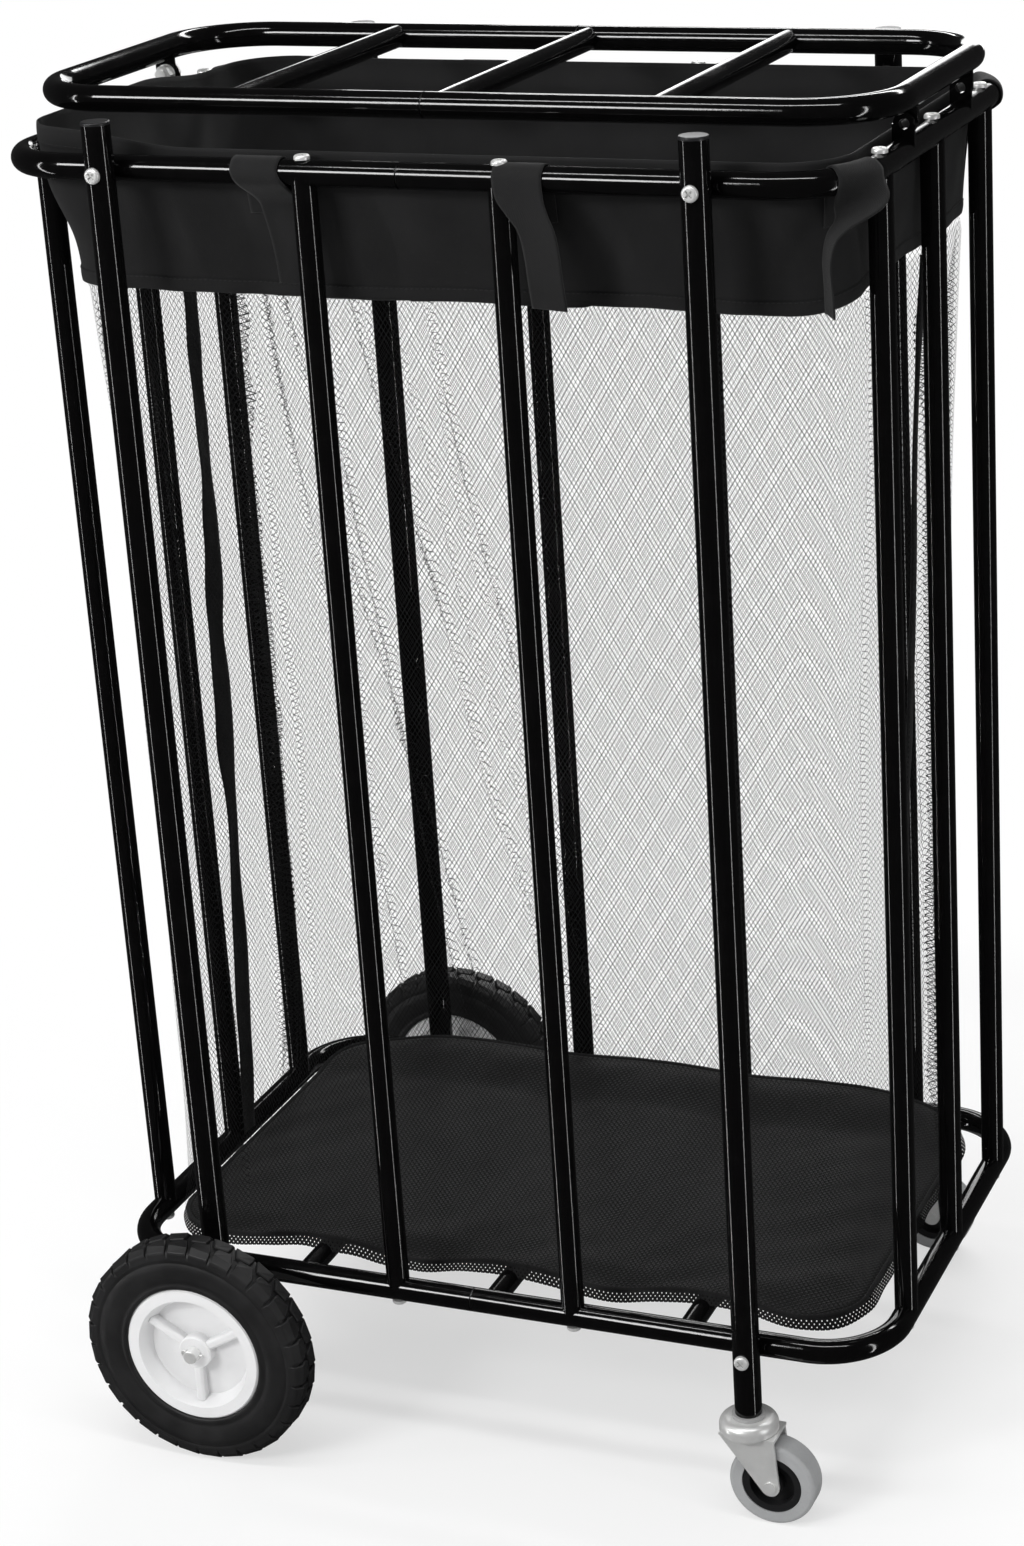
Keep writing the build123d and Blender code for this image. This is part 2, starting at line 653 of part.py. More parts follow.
nodes = {}
nodes.update(make_rims())
nodes["bottom_cross_bars"] = cross_bars(frame_depth, bottom_rim_z)
nodes.update(make_legs())
nodes["leg_caps"] = leg_caps()
nodes.update(make_bars())
nodes.update(bar_fasteners())
nodes.update(leg_fasteners())
nodes.update(make_axles())
nodes.update(make_wheels())
nodes.update(make_casters())
nodes.update(make_tabs())
nodes.update(hinge_hardware())
nodes.update(make_lid())
nodes.update(make_bag())
nodes["straps"] = make_straps()
write(nodes)
print(len(nodes), "nodes")
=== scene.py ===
"""Rolling lidded mesh hamper: cloth, net, tyres, stitching and finishes on a packed tube cage."""

import math
import random

import bmesh
import bpy
import numpy as np
from bpy.props import FloatProperty, FloatVectorProperty, IntProperty, PointerProperty
from mathutils import Matrix, Vector


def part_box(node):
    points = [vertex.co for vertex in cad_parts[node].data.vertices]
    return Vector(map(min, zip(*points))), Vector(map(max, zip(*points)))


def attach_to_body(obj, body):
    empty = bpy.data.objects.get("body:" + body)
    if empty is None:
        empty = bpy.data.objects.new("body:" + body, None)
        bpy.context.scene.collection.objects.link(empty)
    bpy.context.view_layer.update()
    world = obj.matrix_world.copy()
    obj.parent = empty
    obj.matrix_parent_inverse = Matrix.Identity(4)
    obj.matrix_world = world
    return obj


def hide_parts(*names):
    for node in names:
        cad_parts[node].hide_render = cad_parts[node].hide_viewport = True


bl_info = {
    "name": "Rolling Mesh Hamper",
    "version": (1, 0, 0),
    "blender": (4, 5, 0),
    "location": "3D View > Sidebar > Hamper",
    "description": "Dresses a rolling tube-cage hamper: net bag, straps, tyres, stitching and finishes",
    "category": "Object",
}

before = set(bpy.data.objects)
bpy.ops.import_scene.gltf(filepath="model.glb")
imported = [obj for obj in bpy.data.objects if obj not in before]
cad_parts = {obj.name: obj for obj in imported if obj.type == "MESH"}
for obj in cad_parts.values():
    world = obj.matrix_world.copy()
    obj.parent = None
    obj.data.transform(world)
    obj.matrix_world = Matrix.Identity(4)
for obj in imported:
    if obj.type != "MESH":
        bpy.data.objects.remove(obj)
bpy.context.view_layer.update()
SEED = 11

# --- places read from the frame, in metres ---
RIM_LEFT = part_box("top_rim_left")
RIM_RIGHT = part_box("top_rim_right")
RIM_R = (RIM_LEFT[1].z - RIM_LEFT[0].z) / 2
RIM_Z = (RIM_LEFT[1].z + RIM_LEFT[0].z) / 2
RIM_X = RIM_RIGHT[1].x - RIM_R
RIM_Y = RIM_LEFT[1].y - RIM_R
RIM_CORNER = 0.060
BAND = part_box("bag_band")
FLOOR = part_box("bag_bottom")
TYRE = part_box("wheel_tyre_front")
TYRE_R = (TYRE[1].z - TYRE[0].z) / 2
WHEEL_X = (TYRE[1].x + TYRE[0].x) / 2
TYRE_HALF = (TYRE[1].y - TYRE[0].y) / 2
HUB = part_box("wheel_hub_front")
HUB_R = (HUB[1].z - HUB[0].z) / 2

# --- sizes of the fine pieces, in metres ---
BAG_COLUMNS = 460
SHARE_STEPS = 2000
NET_SLOPE = 0.62  # of a thread, along the net for each step up it
FRINGE_CLOSE = 6.6  # times as much thread in the fringe as in the walls
BAND_CORNER = RIM_CORNER - RIM_R - 0.0035
NET_CORNER = 0.050
FLOOR_CORNER = 0.048
FLOOR_IN, FLOOR_BACK = 0.006, 0.019  # the panel's front and rear edges against the bag's bottom
BAND_RIDE, BAND_SINK = 0.011, 0.0015
BAND_PULL, BAND_SLACK, BAND_FOLD = 0.0055, 0.0062, 0.0016
NET_SLACK, NET_END_FOLD, NET_SIDE_FOLD = 0.0055, 0.0042, 0.0014
NET_GATHER, NET_PINCH, NET_HOLLOW = 0.002, 0.006, 0.005
HEM_WIDTH = 0.014
HEM_SWELL = 0.0008
STITCH_OUT = 0.0018
STITCH_WIDTH = 0.0009
STITCH_SHARE = 0.78  # of the pitch that one stitch fills
TRIM_CLOTH = 0.0008
TAPE_LEFT, TAPE_RIGHT = 0.021, 0.014
STRAP_OFF_RIM = 0.0011
PANEL_CLOTH = 0.0012
PANEL_LIFT = 0.0042
PANEL_REST = 0.012  # from a bar's middle line, where the cloth leaves it
PANEL_SAG, PANEL_EDGE_SAG, PANEL_BACK = 0.0035, 0.0060, 0.0125
PANEL_PUFF, PANEL_CREASE, PANEL_DRAPE = 0.0020, 0.0016, 0.0036
BINDING_R = 0.0022
FRINGE_WIDTH = 0.014
DRAWN_HALF = 0.017  # half the width that the tyre's profile is drawn at
LUG_STAGGER = 0.25
LUG_EDGE = 0.0005
FLOOR_HALF = 12.0


# ---------------------------------------------------------------- settings


def metres(name, description, default):
    return FloatProperty(name=name, description=description, default=default, unit="LENGTH")


def colour(name, description, default):
    return FloatVectorProperty(name=name, description=description, default=default, subtype="COLOR")


class BagSettings(bpy.types.PropertyGroup):
    """Cloth and net of the bag."""

    band_drop: metres("Band drop", "Height of the cloth band", 0.113)
    left_tuck: metres("Left tuck", "How far the bag's left end hangs inside its rim", 0.019)
    right_tuck: metres("Right tuck", "How far the bag's right end hangs inside its rim", 0.004)
    side_tuck: metres("Side tuck", "How far the long walls hang inside the rim", 0.014)
    cloth: metres("Cloth", "Thickness of the band's cloth", 0.0010)
    net_pitch: metres("Net pitch", "Width of one net cell", 0.0040)
    net_thread: FloatProperty(
        name="Net thread", description="Share of a cell that is thread", default=0.105, min=0.02, max=0.6
    )
    cloth_colour: colour("Cloth colour", "Dyed cloth", (0.0105, 0.0105, 0.0108))
    stitch_pitch: metres("Stitch pitch", "Spacing of stitches", 0.0042)


class StrapSettings(bpy.types.PropertyGroup):
    """Hook-and-loop straps round the rim."""

    width: metres("Width", "Strap width", 0.038)
    thickness: metres("Thickness", "Strap thickness", 0.0014)
    tail: metres("Tail", "Length of the tails below the rail", 0.088)


class TyreSettings(bpy.types.PropertyGroup):
    """Rubber of the large wheels."""

    lugs: IntProperty(name="Lugs", description="Lugs round each shoulder", default=30, min=8)
    lug_height: metres("Lug height", "Tread depth", 0.0032)
    rubber_colour: colour("Rubber colour", "Tyre rubber", (0.011, 0.0108, 0.0112))


class FinishSettings(bpy.types.PropertyGroup):
    """Colours of the hard parts."""

    powder: colour("Powder coat", "Tubes", (0.0016, 0.0015, 0.0016))
    hub: colour("Hub", "Moulded hubs", (0.74, 0.74, 0.745))
    tread: colour("Caster tread", "Soft caster treads", (0.36, 0.365, 0.37))


class StageSettings(bpy.types.PropertyGroup):
    """Floor, light and camera."""

    lens: FloatProperty(name="Lens", description="Focal length", default=77.3, unit="CAMERA")
    key: FloatProperty(name="Key light", description="Power of the main light", default=60.0, unit="POWER")


def settings(group):
    return getattr(bpy.context.scene, "hamper_" + group)


# ---------------------------------------------------------------- materials


def add_node(tree, kind, options=None, inputs=None):
    """One node: its type, its settings, then values or links for its sockets."""
    node = tree.nodes.new(kind)
    for key, value in (options or {}).items():
        setattr(node, key, value)
    for key, value in (inputs or {}).items():
        socket = node.inputs[key]
        if isinstance(value, bpy.types.NodeSocket):
            tree.links.new(value, socket)
        elif socket.type == "RGBA":
            socket.default_value = (*value, 1.0)
        else:
            socket.default_value = value
    return node


def math_of(operation, reflected=False):
    """A method that adds one Math node to the tree of the value it is called on."""

    def method(value, *others):
        numbers = (*others, value) if reflected else (value, *others)
        return value.shader.add("ShaderNodeMath", {"operation": operation}, dict(enumerate(numbers))).out()

    return method


class Value:
    """A number in a material's tree. Arithmetic on it adds Math nodes."""

    def __init__(self, shader, socket):
        self.shader, self.socket = shader, socket

    __add__, __radd__ = math_of("ADD"), math_of("ADD", True)
    __sub__, __rsub__ = math_of("SUBTRACT"), math_of("SUBTRACT", True)
    __mul__, __rmul__ = math_of("MULTIPLY"), math_of("MULTIPLY", True)
    sine, absolute = math_of("SINE"), math_of("ABSOLUTE")
    least, most, below = math_of("MINIMUM"), math_of("MAXIMUM"), math_of("LESS_THAN")

    def mapped(self, low, high, to_low=0.0, to_high=1.0):
        inputs = {0: self, 1: low, 2: high, 3: to_low, 4: to_high}
        return self.shader.add("ShaderNodeMapRange", {"clamp": True}, inputs).out()


class Added:
    """A node that was just added to a material's tree."""

    def __init__(self, shader, node):
        self.shader, self.node = shader, node

    def out(self, name=0):
        return Value(self.shader, self.node.outputs[name])


class Finish:
    """A material built from nodes round one Principled shader."""

    def __init__(self, name, **constants):
        self.material = bpy.data.materials.new(name)
        self.material.use_nodes = True
        self.tree = self.material.node_tree
        self.tree.nodes.clear()
        self.output = self.tree.nodes.new("ShaderNodeOutputMaterial")
        self.surface = self.add("ShaderNodeBsdfPrincipled", {}, constants)
        self.tree.links.new(self.surface.node.outputs[0], self.output.inputs["Surface"])

    def add(self, kind, options=None, inputs=None):
        sockets = {key: v.socket if isinstance(v, Value) else v for key, v in (inputs or {}).items()}
        return Added(self, add_node(self.tree, kind, options, sockets))

    def feed(self, socket, value):
        self.tree.links.new(value.socket, self.surface.node.inputs[socket])

    def place(self, scale=(1.0, 1.0, 1.0), uv=False):
        """Coordinates in metres: the piece's own map, or its place in the frame."""
        source = self.add("ShaderNodeTexCoord").out("UV" if uv else "Object")
        return self.add("ShaderNodeMapping", {}, {"Vector": source, "Scale": scale}).out()

    def noise(self, where, scale, detail=3.0, rough=0.55):
        inputs = {"Vector": where, "Scale": scale, "Detail": detail, "Roughness": rough}
        return self.add("ShaderNodeTexNoise", {}, inputs).out("Fac")

    def blend(self, factor, low, high):
        """A colour between two colours."""
        return self.add("ShaderNodeMix", {"data_type": "RGBA"}, {"Factor": factor, 6: low, 7: high}).out(2)

    def parts(self, vector):
        split = self.add("ShaderNodeSeparateXYZ", {}, {0: vector})
        return split.out(0), split.out(1), split.out(2)

    def bump(self, height, distance, strength=1.0):
        inputs = {"Height": height, "Distance": distance, "Strength": strength}
        self.feed("Normal", self.add("ShaderNodeBump", {}, inputs).out())


def shade(colour, factor):
    return tuple(min(1.0, c * factor) for c in colour)


def powder_coat():
    """Glossy black powder coat: faint orange peel, rubbed and dusty in places."""
    base = tuple(settings("finish").powder)
    f = Finish("gloss_black_powder_coat", **{"Specular IOR Level": 0.42})
    where = f.place()
    wear = f.noise(where, 9.0, 5.0).mapped(0.52, 0.72)
    scuff = f.noise(f.place(scale=(1.0, 1.0, 0.12)), 260.0, 4.0).mapped(0.62, 0.76)
    dust = f.noise(where, 42.0, 6.0, 0.65).mapped(0.50, 0.85)
    f.feed("Base Color", f.blend(dust * 0.5 + scuff * 0.3, base, shade(base, 3.0)))
    f.feed("Roughness", 0.085 + wear * 0.05 + scuff * 0.08 + dust * 0.03)
    peel = f.noise(where, 620.0, 2.0)
    f.bump(peel * 0.5 + f.noise(where, 90.0, 2.0) * 0.9, 0.00012, 0.30)
    return f.material


def zinc():
    """Zinc plate with a faint spangle and handling marks."""
    f = Finish("bright_zinc_plate", Metallic=0.55)
    where = f.place()
    spangle = f.add("ShaderNodeTexVoronoi", {}, {"Vector": where, "Scale": 520.0}).out("Color")
    grain = f.noise(where, 160.0, 5.0)
    stain = f.noise(where, 38.0, 4.0).mapped(0.42, 0.75)
    f.feed("Base Color", f.blend(stain * 0.8, (0.86, 0.86, 0.85), (0.68, 0.685, 0.68)))
    f.feed("Roughness", 0.27 + grain * 0.12 + stain * 0.08)
    lift = f.add("ShaderNodeSeparateColor", {}, {0: spangle}).out(0)
    f.bump(grain * 0.8 + lift * 0.2, 0.0002, 0.3)
    return f.material


def moulded(name, base, rough, dirt=0.35):
    """Moulded plastic: fine spark grain, slightly uneven gloss, grime in broad patches."""
    f = Finish(name, **{"Specular IOR Level": 0.45})
    where = f.place()
    patch = f.noise(where, 24.0, 5.0).mapped(0.45, 0.78)
    speck = f.noise(where, 210.0, 4.0).mapped(0.66, 0.80)
    f.feed("Base Color", f.blend(patch * dirt + speck * dirt * 0.5, base, shade(base, 0.72)))
    f.feed("Roughness", rough + patch * 0.10 - speck * 0.05)
    f.bump(f.noise(where, 900.0, 2.0) * 0.6 + f.noise(where, 70.0, 2.0), 0.00018, 0.30)
    return f.material


def rubber(name, base, rough, bloom):
    """Rubber with a dull bloom, mould grain and road dust."""
    f = Finish(name, **{"Specular IOR Level": 0.35})
    where = f.place()
    cloud = f.noise(where, 30.0, 6.0, 0.6).mapped(0.42, 0.74)
    grit = f.noise(where, 420.0, 3.0).mapped(0.58, 0.76)
    f.feed("Base Color", f.blend(cloud * 0.7 + grit * 0.35, base, shade(base, bloom)))
    f.feed("Roughness", rough + cloud * 0.14)
    f.bump(f.noise(where, 1300.0, 2.0) * 0.5 + grit * 0.5, 0.0003, 0.35)
    return f.material


def steel():
    """Plain turned steel for what sits inside the joints."""
    f = Finish("plain_turned_steel", Metallic=1.0)
    where = f.place()
    lines = f.noise(f.place(scale=(1.0, 1.0, 9.0)), 240.0, 3.0)
    f.feed("Base Color", f.blend(f.noise(where, 40.0), (0.42, 0.42, 0.43), (0.56, 0.56, 0.57)))
    f.feed("Roughness", 0.3 + lines * 0.2)
    f.bump(lines, 0.0001, 0.3)
    return f.material


def woven(name, base, pitch, sheen=0.06, lint=0.4):
    """Close plain weave on the piece's own map, in metres, with lint and tone that varies in broad patches."""
    f = Finish(name, **{"Sheen Weight": sheen, "Sheen Roughness": 0.45, "Specular IOR Level": 0.16})
    u, v, _ = f.parts(f.place(uv=True))
    turn = math.tau / pitch
    warp = (u * turn).sine()
    weft = (v * turn).sine()
    over = (warp * weft).mapped(-1.0, 1.0)
    where = f.place()
    fade = f.noise(where, 14.0, 5.0).mapped(0.38, 0.72)
    fluff = f.noise(where, 330.0, 4.0).mapped(0.60, 0.80)
    tone = f.blend(over * 0.55 + fade * 0.45, shade(base, 0.8), shade(base, 1.45))
    f.feed("Base Color", f.blend(fluff * lint * 0.5, tone, shade(base, 3.0)))
    f.feed("Roughness", 0.72 + over * 0.12 - fade * 0.06)
    f.bump(over * 0.7 + (warp.absolute() + weft.absolute()) * 0.25, pitch * 0.35, 0.55)
    return f.material


def open_net(name="open_net_mesh", close=1.0):
    """Knotless net: thread along two slanted families of lines, diamond holes between them."""
    bag = settings("bag")
    base = tuple(bag.cloth_colour)
    f = Finish(name, **{"Specular IOR Level": 0.2})
    u, v, _ = f.parts(f.place(uv=True))
    turn = math.pi / bag.net_pitch
    one = ((u + v * NET_SLOPE) * turn).sine().absolute()
    two = ((u - v * NET_SLOPE) * turn).sine().absolute()
    knot = (one * two).mapped(0.0, 0.05)
    thread = one.least(two)
    width = math.sin(math.pi * min(0.9, bag.net_thread * close) / 2)
    solid = thread.below(width).most(knot.below(0.5))
    f.feed("Alpha", solid)
    where = f.place()
    f.feed("Base Color", f.blend(f.noise(where, 60.0).mapped(0.4, 0.7), shade(base, 0.5), base))
    f.feed("Roughness", 0.55 + f.noise(where, 300.0) * 0.2)
    f.bump(1.0 - thread.mapped(0.0, width), 0.0004, 0.6)
    return f.material


MATERIALS = {}


def finish_of(key):
    """Each material is made once, when first asked for."""
    finish, bag, tyre = settings("finish"), settings("bag"), settings("tyre")
    dyed = bag.cloth_colour
    makers = {
        "powder": powder_coat,
        "zinc": zinc,
        "steel": steel,
        "net": open_net,
        "fringe": lambda: open_net("close_net_fringe", FRINGE_CLOSE),
        "hub": lambda: moulded("white_moulded_hub", tuple(finish.hub), 0.42, dirt=0.22),
        "black_plastic": lambda: moulded("black_moulded_plastic", (0.012, 0.012, 0.013), 0.38),
        "grey_plastic": lambda: moulded("grey_moulded_plastic", (0.36, 0.36, 0.36), 0.5),
        "tyre": lambda: rubber("black_tyre_rubber", tuple(tyre.rubber_colour), 0.46, 1.8),
        "tread": lambda: rubber("grey_soft_tread", tuple(finish.tread), 0.36, 0.80),
        "cloth": lambda: woven("band_polyester_cloth", tuple(dyed), 0.0011),
        "panel": lambda: woven("bottom_panel_cloth", shade(dyed, 0.8), 0.0050, lint=0.35),
        "strap": lambda: woven("hook_and_loop_webbing", shade(dyed, 0.95), 0.0016, sheen=0.08, lint=0.6),
        "thread": lambda: woven("black_sewing_thread", shade(dyed, 1.6), 0.0006),
    }
    if key not in MATERIALS:
        MATERIALS[key] = makers[key]()
    return MATERIALS[key]


# ---------------------------------------------------------------- mesh helpers


def in_scene(name, data):
    """A new object on the scene's own collection."""
    placed = bpy.data.objects.new(name, data)
    bpy.context.scene.collection.objects.link(placed)
    return placed


def new_piece(name, verts, faces, key, uvs):
    """A smooth mesh object in the frame, with its map in metres."""
    mesh = bpy.data.meshes.new(name)
    mesh.from_pydata([tuple(v) for v in verts], [], faces)
    layer = mesh.uv_layers.new(name="metres")
    for loop in mesh.loops:
        layer.data[loop.index].uv = uvs[loop.index]
    mesh.materials.append(finish_of(key))
    for polygon in mesh.polygons:
        polygon.use_smooth = True
    mesh.validate()
    return in_scene(name, mesh)


def made_plain(piece, name):
    """The piece with its modifiers turned into plain mesh."""
    graph = bpy.context.evaluated_depsgraph_get()
    mesh = bpy.data.meshes.new_from_object(piece.evaluated_get(graph))
    bpy.data.objects.remove(piece)
    plain = in_scene(name, mesh)
    mesh.name = plain.name
    return plain


def sealed(piece):
    """Closes the seam of a tube or ring, and turns its faces outwards."""
    body = bmesh.new()
    body.from_mesh(piece.data)
    bmesh.ops.remove_doubles(body, verts=body.verts, dist=1e-6)
    bmesh.ops.recalc_face_normals(body, faces=body.faces)
    body.to_mesh(piece.data)
    body.free()
    return piece


def grid(name, key, place, rows, columns, closed=False, size=(1.0, 1.0)):
    """A sheet of quads from place(s, t); s runs along the columns and t up the rows, both from 0 to 1."""
    verts, faces, uvs = [], [], []
    for row in range(rows + 1):
        for column in range(columns + (0 if closed else 1)):
            verts.append(place(column / columns, row / rows))
    wide = columns if closed else columns + 1
    for row in range(rows):
        for column in range(columns):
            after = (column + 1) % wide if closed else column + 1
            a, b = row * wide + column, row * wide + after
            faces.append((a, b, b + wide, a + wide))
            low, high = row / rows * size[1], (row + 1) / rows * size[1]
            left, right = column / columns * size[0], (column + 1) / columns * size[0]
            uvs += [(left, low), (right, low), (right, high), (left, high)]
    return new_piece(name, verts, faces, key, uvs)


def thicken(piece, thickness):
    wall = piece.modifiers.new("cloth", "SOLIDIFY")
    wall.thickness, wall.offset = thickness, 0.0
    wall.use_even_offset = False
    return made_plain(piece, piece.name)


def waves(seed, count, low, high):
    """A repeatable soft wave over one number: a few sines of set frequency range."""
    draw = random.Random(SEED * 100 + seed)
    limits = ((low, high), (0, math.tau), (0.5, 1.0))
    terms = [tuple(draw.uniform(*pair) for pair in limits) for _ in range(count)]
    total = sum(weight for _, _, weight in terms)
    return lambda x: sum(weight * math.sin(rate * x + phase) for rate, phase, weight in terms) / total


def bell(x, centre, width):
    return math.exp(-(((x - centre) / width) ** 2))


def ease(x):
    x = min(1.0, max(0.0, x))
    return x * x * (3 - 2 * x)


# ---------------------------------------------------------------- the bag's outline


class Ring:
    """A rounded rectangle walked run by run, so that every height keeps the same columns."""

    def __init__(self, x0, x1, y0, y1, corner):
        self.y0, self.y1, self.corner = y0, y1, corner
        r = corner
        sides = [((x0 + r, y0), (x1 - r, y0), x1 - x0), ((x1, y0 + r), (x1, y1 - r), y1 - y0),
                 ((x1 - r, y1), (x0 + r, y1), x1 - x0), ((x0, y1 - r), (x0, y0 + r), y1 - y0)]
        hubs = [(x1 - r, y0 + r), (x1 - r, y1 - r), (x0 + r, y1 - r), (x0 + r, y0 + r)]
        self.runs = []
        for quarter, ((start, end, whole), hub) in enumerate(zip(sides, hubs)):
            self.runs.append((start, end, whole - 2 * r))
            self.runs.append((hub, 90 * (quarter - 1), r * math.pi / 2))

    def at(self, run_index, share):
        """The point and the outward direction at a share of one run."""
        first, second, _ = self.runs[run_index]
        if run_index % 2 == 0:
            point = [a + (b - a) * share for a, b in zip(first, second)]
            along = Vector((second[0] - first[0], second[1] - first[1])).normalized()
            return point[0], point[1], along.y, -along.x
        angle = math.radians(second + 90 * share)
        x, y = math.cos(angle), math.sin(angle)
        return first[0] + self.corner * x, first[1] + self.corner * y, x, y


class Wall:
    """The bag's wall: where the cloth or the net is, by share round it and by height."""

    def __init__(self):
        bag = settings("bag")
        low, high = BAND
        self.top_z, self.low_z = high.z, FLOOR[0].z
        self.band_z = self.top_z - bag.band_drop
        self.top = Ring(low.x, high.x, low.y, high.y, BAND_CORNER)
        left, right, side = bag.left_tuck, bag.right_tuck, bag.side_tuck
        self.middle = Ring(low.x + left, high.x - right, low.y + side, high.y - side, NET_CORNER)
        low, high = FLOOR
        self.bottom = Ring(low.x, high.x, low.y + FLOOR_IN, high.y + FLOOR_BACK, FLOOR_CORNER)
        self.lengths = [length for _, _, length in self.middle.runs]
        self.around = sum(self.lengths)
        self.slow = waves(1, 5, 9, 26)
        self.folds = waves(2, 6, 60, 150)
        self.creep = waves(3, 4, 3, 9)
        self.edge = waves(4, 6, 14, 50)
        self.draped = waves(5, 5, 26, 80)
        draw = random.Random(SEED + 40)
        rear_left, front_left, rear_right = (
            self.share_of(x, y) * self.around for x, y in ((-1.0, 1.0), (-1.0, -1.0), (1.0, 1.0))
        )
        groups = (  # middle, reach either side, lean and count of each bunch of pleats
            (rear_left - 0.02, 0.09, -0.24, 8), (rear_left + 0.08, 0.03, 0.03, 4),
            (front_left, 0.05, 0.0, 4), (rear_right, 0.08, 0.0, 6),
        )
        self.pleat_lines = []
        for middle, reach, slant, count in groups:
            for _ in range(count):
                start = middle + draw.uniform(-reach, reach)
                drift = slant * draw.uniform(0.5, 1.1) + draw.uniform(-0.03, 0.03)
                bend, height = draw.uniform(0.002, 0.008), draw.uniform(0.006, 0.013)
                self.pleat_lines.append((start, drift, bend, height, draw.uniform(0.0013, 0.0022)))

    def run_of(self, share):
        """The run that holds a share round the wall, and the share along that run."""
        distance = (share % 1.0) * self.around
        for index, length in enumerate(self.lengths):
            if distance <= length or index == len(self.lengths) - 1:
                return index, min(1.0, distance / length)
            distance -= length

    def on(self, ring, share):
        """The point and the outward direction at a share of one of the rings."""
        return ring.at(*self.run_of(share))

    def share_of(self, x, y):
        """The share round the wall whose outline point lies nearest a place."""

        def gap(step):
            px, py, _, _ = self.on(self.middle, step / SHARE_STEPS)
            return (px - x) ** 2 + (py - y) ** 2

        return min(range(SHARE_STEPS), key=gap) / SHARE_STEPS

    def point(self, share, z, out=0.0):
        if z >= self.band_z:
            k = ease((z - self.band_z) / (self.top_z - self.band_z))
            below, above = self.middle, self.top
        else:
            k = (z - self.low_z) / (self.band_z - self.low_z)
            below, above = self.bottom, self.middle
        x, y, nx, ny = (a + (b - a) * k for a, b in zip(self.on(below, share), self.on(above, share)))
        shift = self.sway(share, z) + out
        return Vector((x + nx * shift, y + ny * shift, z))

    def lift(self, share):
        """How far the band's top edge stands up above the rest: it rides up round the front left corner."""
        x, y, _, _ = self.on(self.middle, share)
        left = ease((-0.16 - x) / 0.11)
        return BAND_RIDE * left * (1.0 if y < 0 else ease((0.10 - y) / 0.10)) - BAND_SINK * (1 - left)

    def pleats(self, turn, z):
        """Narrow standing folds that run down the net near its corners."""
        total = 0.0
        for start, drift, bend, height, width in self.pleat_lines:
            gap = turn - start - drift * (self.band_z - z) - bend * self.creep(z * 2.1 + start * 7)
            gap = (gap + self.around / 2) % self.around - self.around / 2
            if abs(gap) < 4 * width:
                total += height * math.exp(-((gap / width) ** 2))
        return total

    def sway(self, share, z):
        """How far the wall stands out of its plain shape: folds, slack and creases."""
        turn = share * self.around
        down = (self.band_z - z) / (self.band_z - self.low_z)
        index, part = self.run_of(share)
        corner = index % 2 or part < 0.08 or part > 0.92
        if z >= self.band_z:
            k = min(1.0, max(0.0, 1 - (z - self.band_z) / (self.top_z - self.band_z)))
            swell = math.sin(math.pi * min(1.0, k * 1.1)) ** 2
            pull = BAND_PULL * self.draped(turn + 0.35 * (z - self.band_z)) * swell
            return k * (BAND_SLACK * self.slow(turn) + BAND_FOLD * self.folds(turn + 0.06 * k)) + pull
        hang = math.sin(math.pi * min(1.0, max(0.0, down))) ** 0.8
        ends = index in (5, 6, 7)
        soft = NET_SLACK * self.slow(turn + 0.25 * self.creep(z)) * hang
        depth = NET_END_FOLD if ends else NET_SIDE_FOLD
        fold = depth * self.folds(turn + 0.09 * self.creep(z * 1.3)) * hang
        gather = NET_GATHER * self.folds(turn * 1.4) * bell(down, 0.0, 0.08)
        pinch = -NET_PINCH * hang if corner and ends else 0.0
        fade = min(1.0, down * 12, (1 - down) * 9)
        return soft + fold + gather + pinch - NET_HOLLOW * hang - self.pleats(turn, z) * fade


# ---------------------------------------------------------------- geometry nodes


class Rule:
    """A Geometry Nodes tree built in the script, with named inputs and one geometry result."""

    def __init__(self, name, inputs):
        self.tree = bpy.data.node_groups.new(name, "GeometryNodeTree")
        face = self.tree.interface
        face.new_socket("Geometry", in_out="INPUT", socket_type="NodeSocketGeometry")
        self.sockets = {}
        for label, kind in inputs:
            self.sockets[label] = face.new_socket(label, in_out="INPUT", socket_type="NodeSocket" + kind)
        face.new_socket("Geometry", in_out="OUTPUT", socket_type="NodeSocketGeometry")
        self.source = self.tree.nodes.new("NodeGroupInput")
        self.result = self.tree.nodes.new("NodeGroupOutput")

    def add(self, kind, options=None, inputs=None):
        return add_node(self.tree, kind, options, inputs)

    def given(self, label):
        return self.source.outputs[label]

    def end(self, geometry):
        real = self.add("GeometryNodeRealizeInstances", {}, {0: geometry})
        inputs = {"Geometry": real.outputs[0], "Material": self.given("Material")}
        worn = self.add("GeometryNodeSetMaterial", {}, inputs)
        self.tree.links.new(worn.outputs[0], self.result.inputs[0])

    def run(self, carrier, values, name):
        """Runs the rule on a carrier object and leaves a plain mesh piece in its place."""
        modifier = carrier.modifiers.new("rule", "NODES")
        modifier.node_group = self.tree
        for label, value in values.items():
            modifier[self.sockets[label].identifier] = value
        return made_plain(carrier, name)


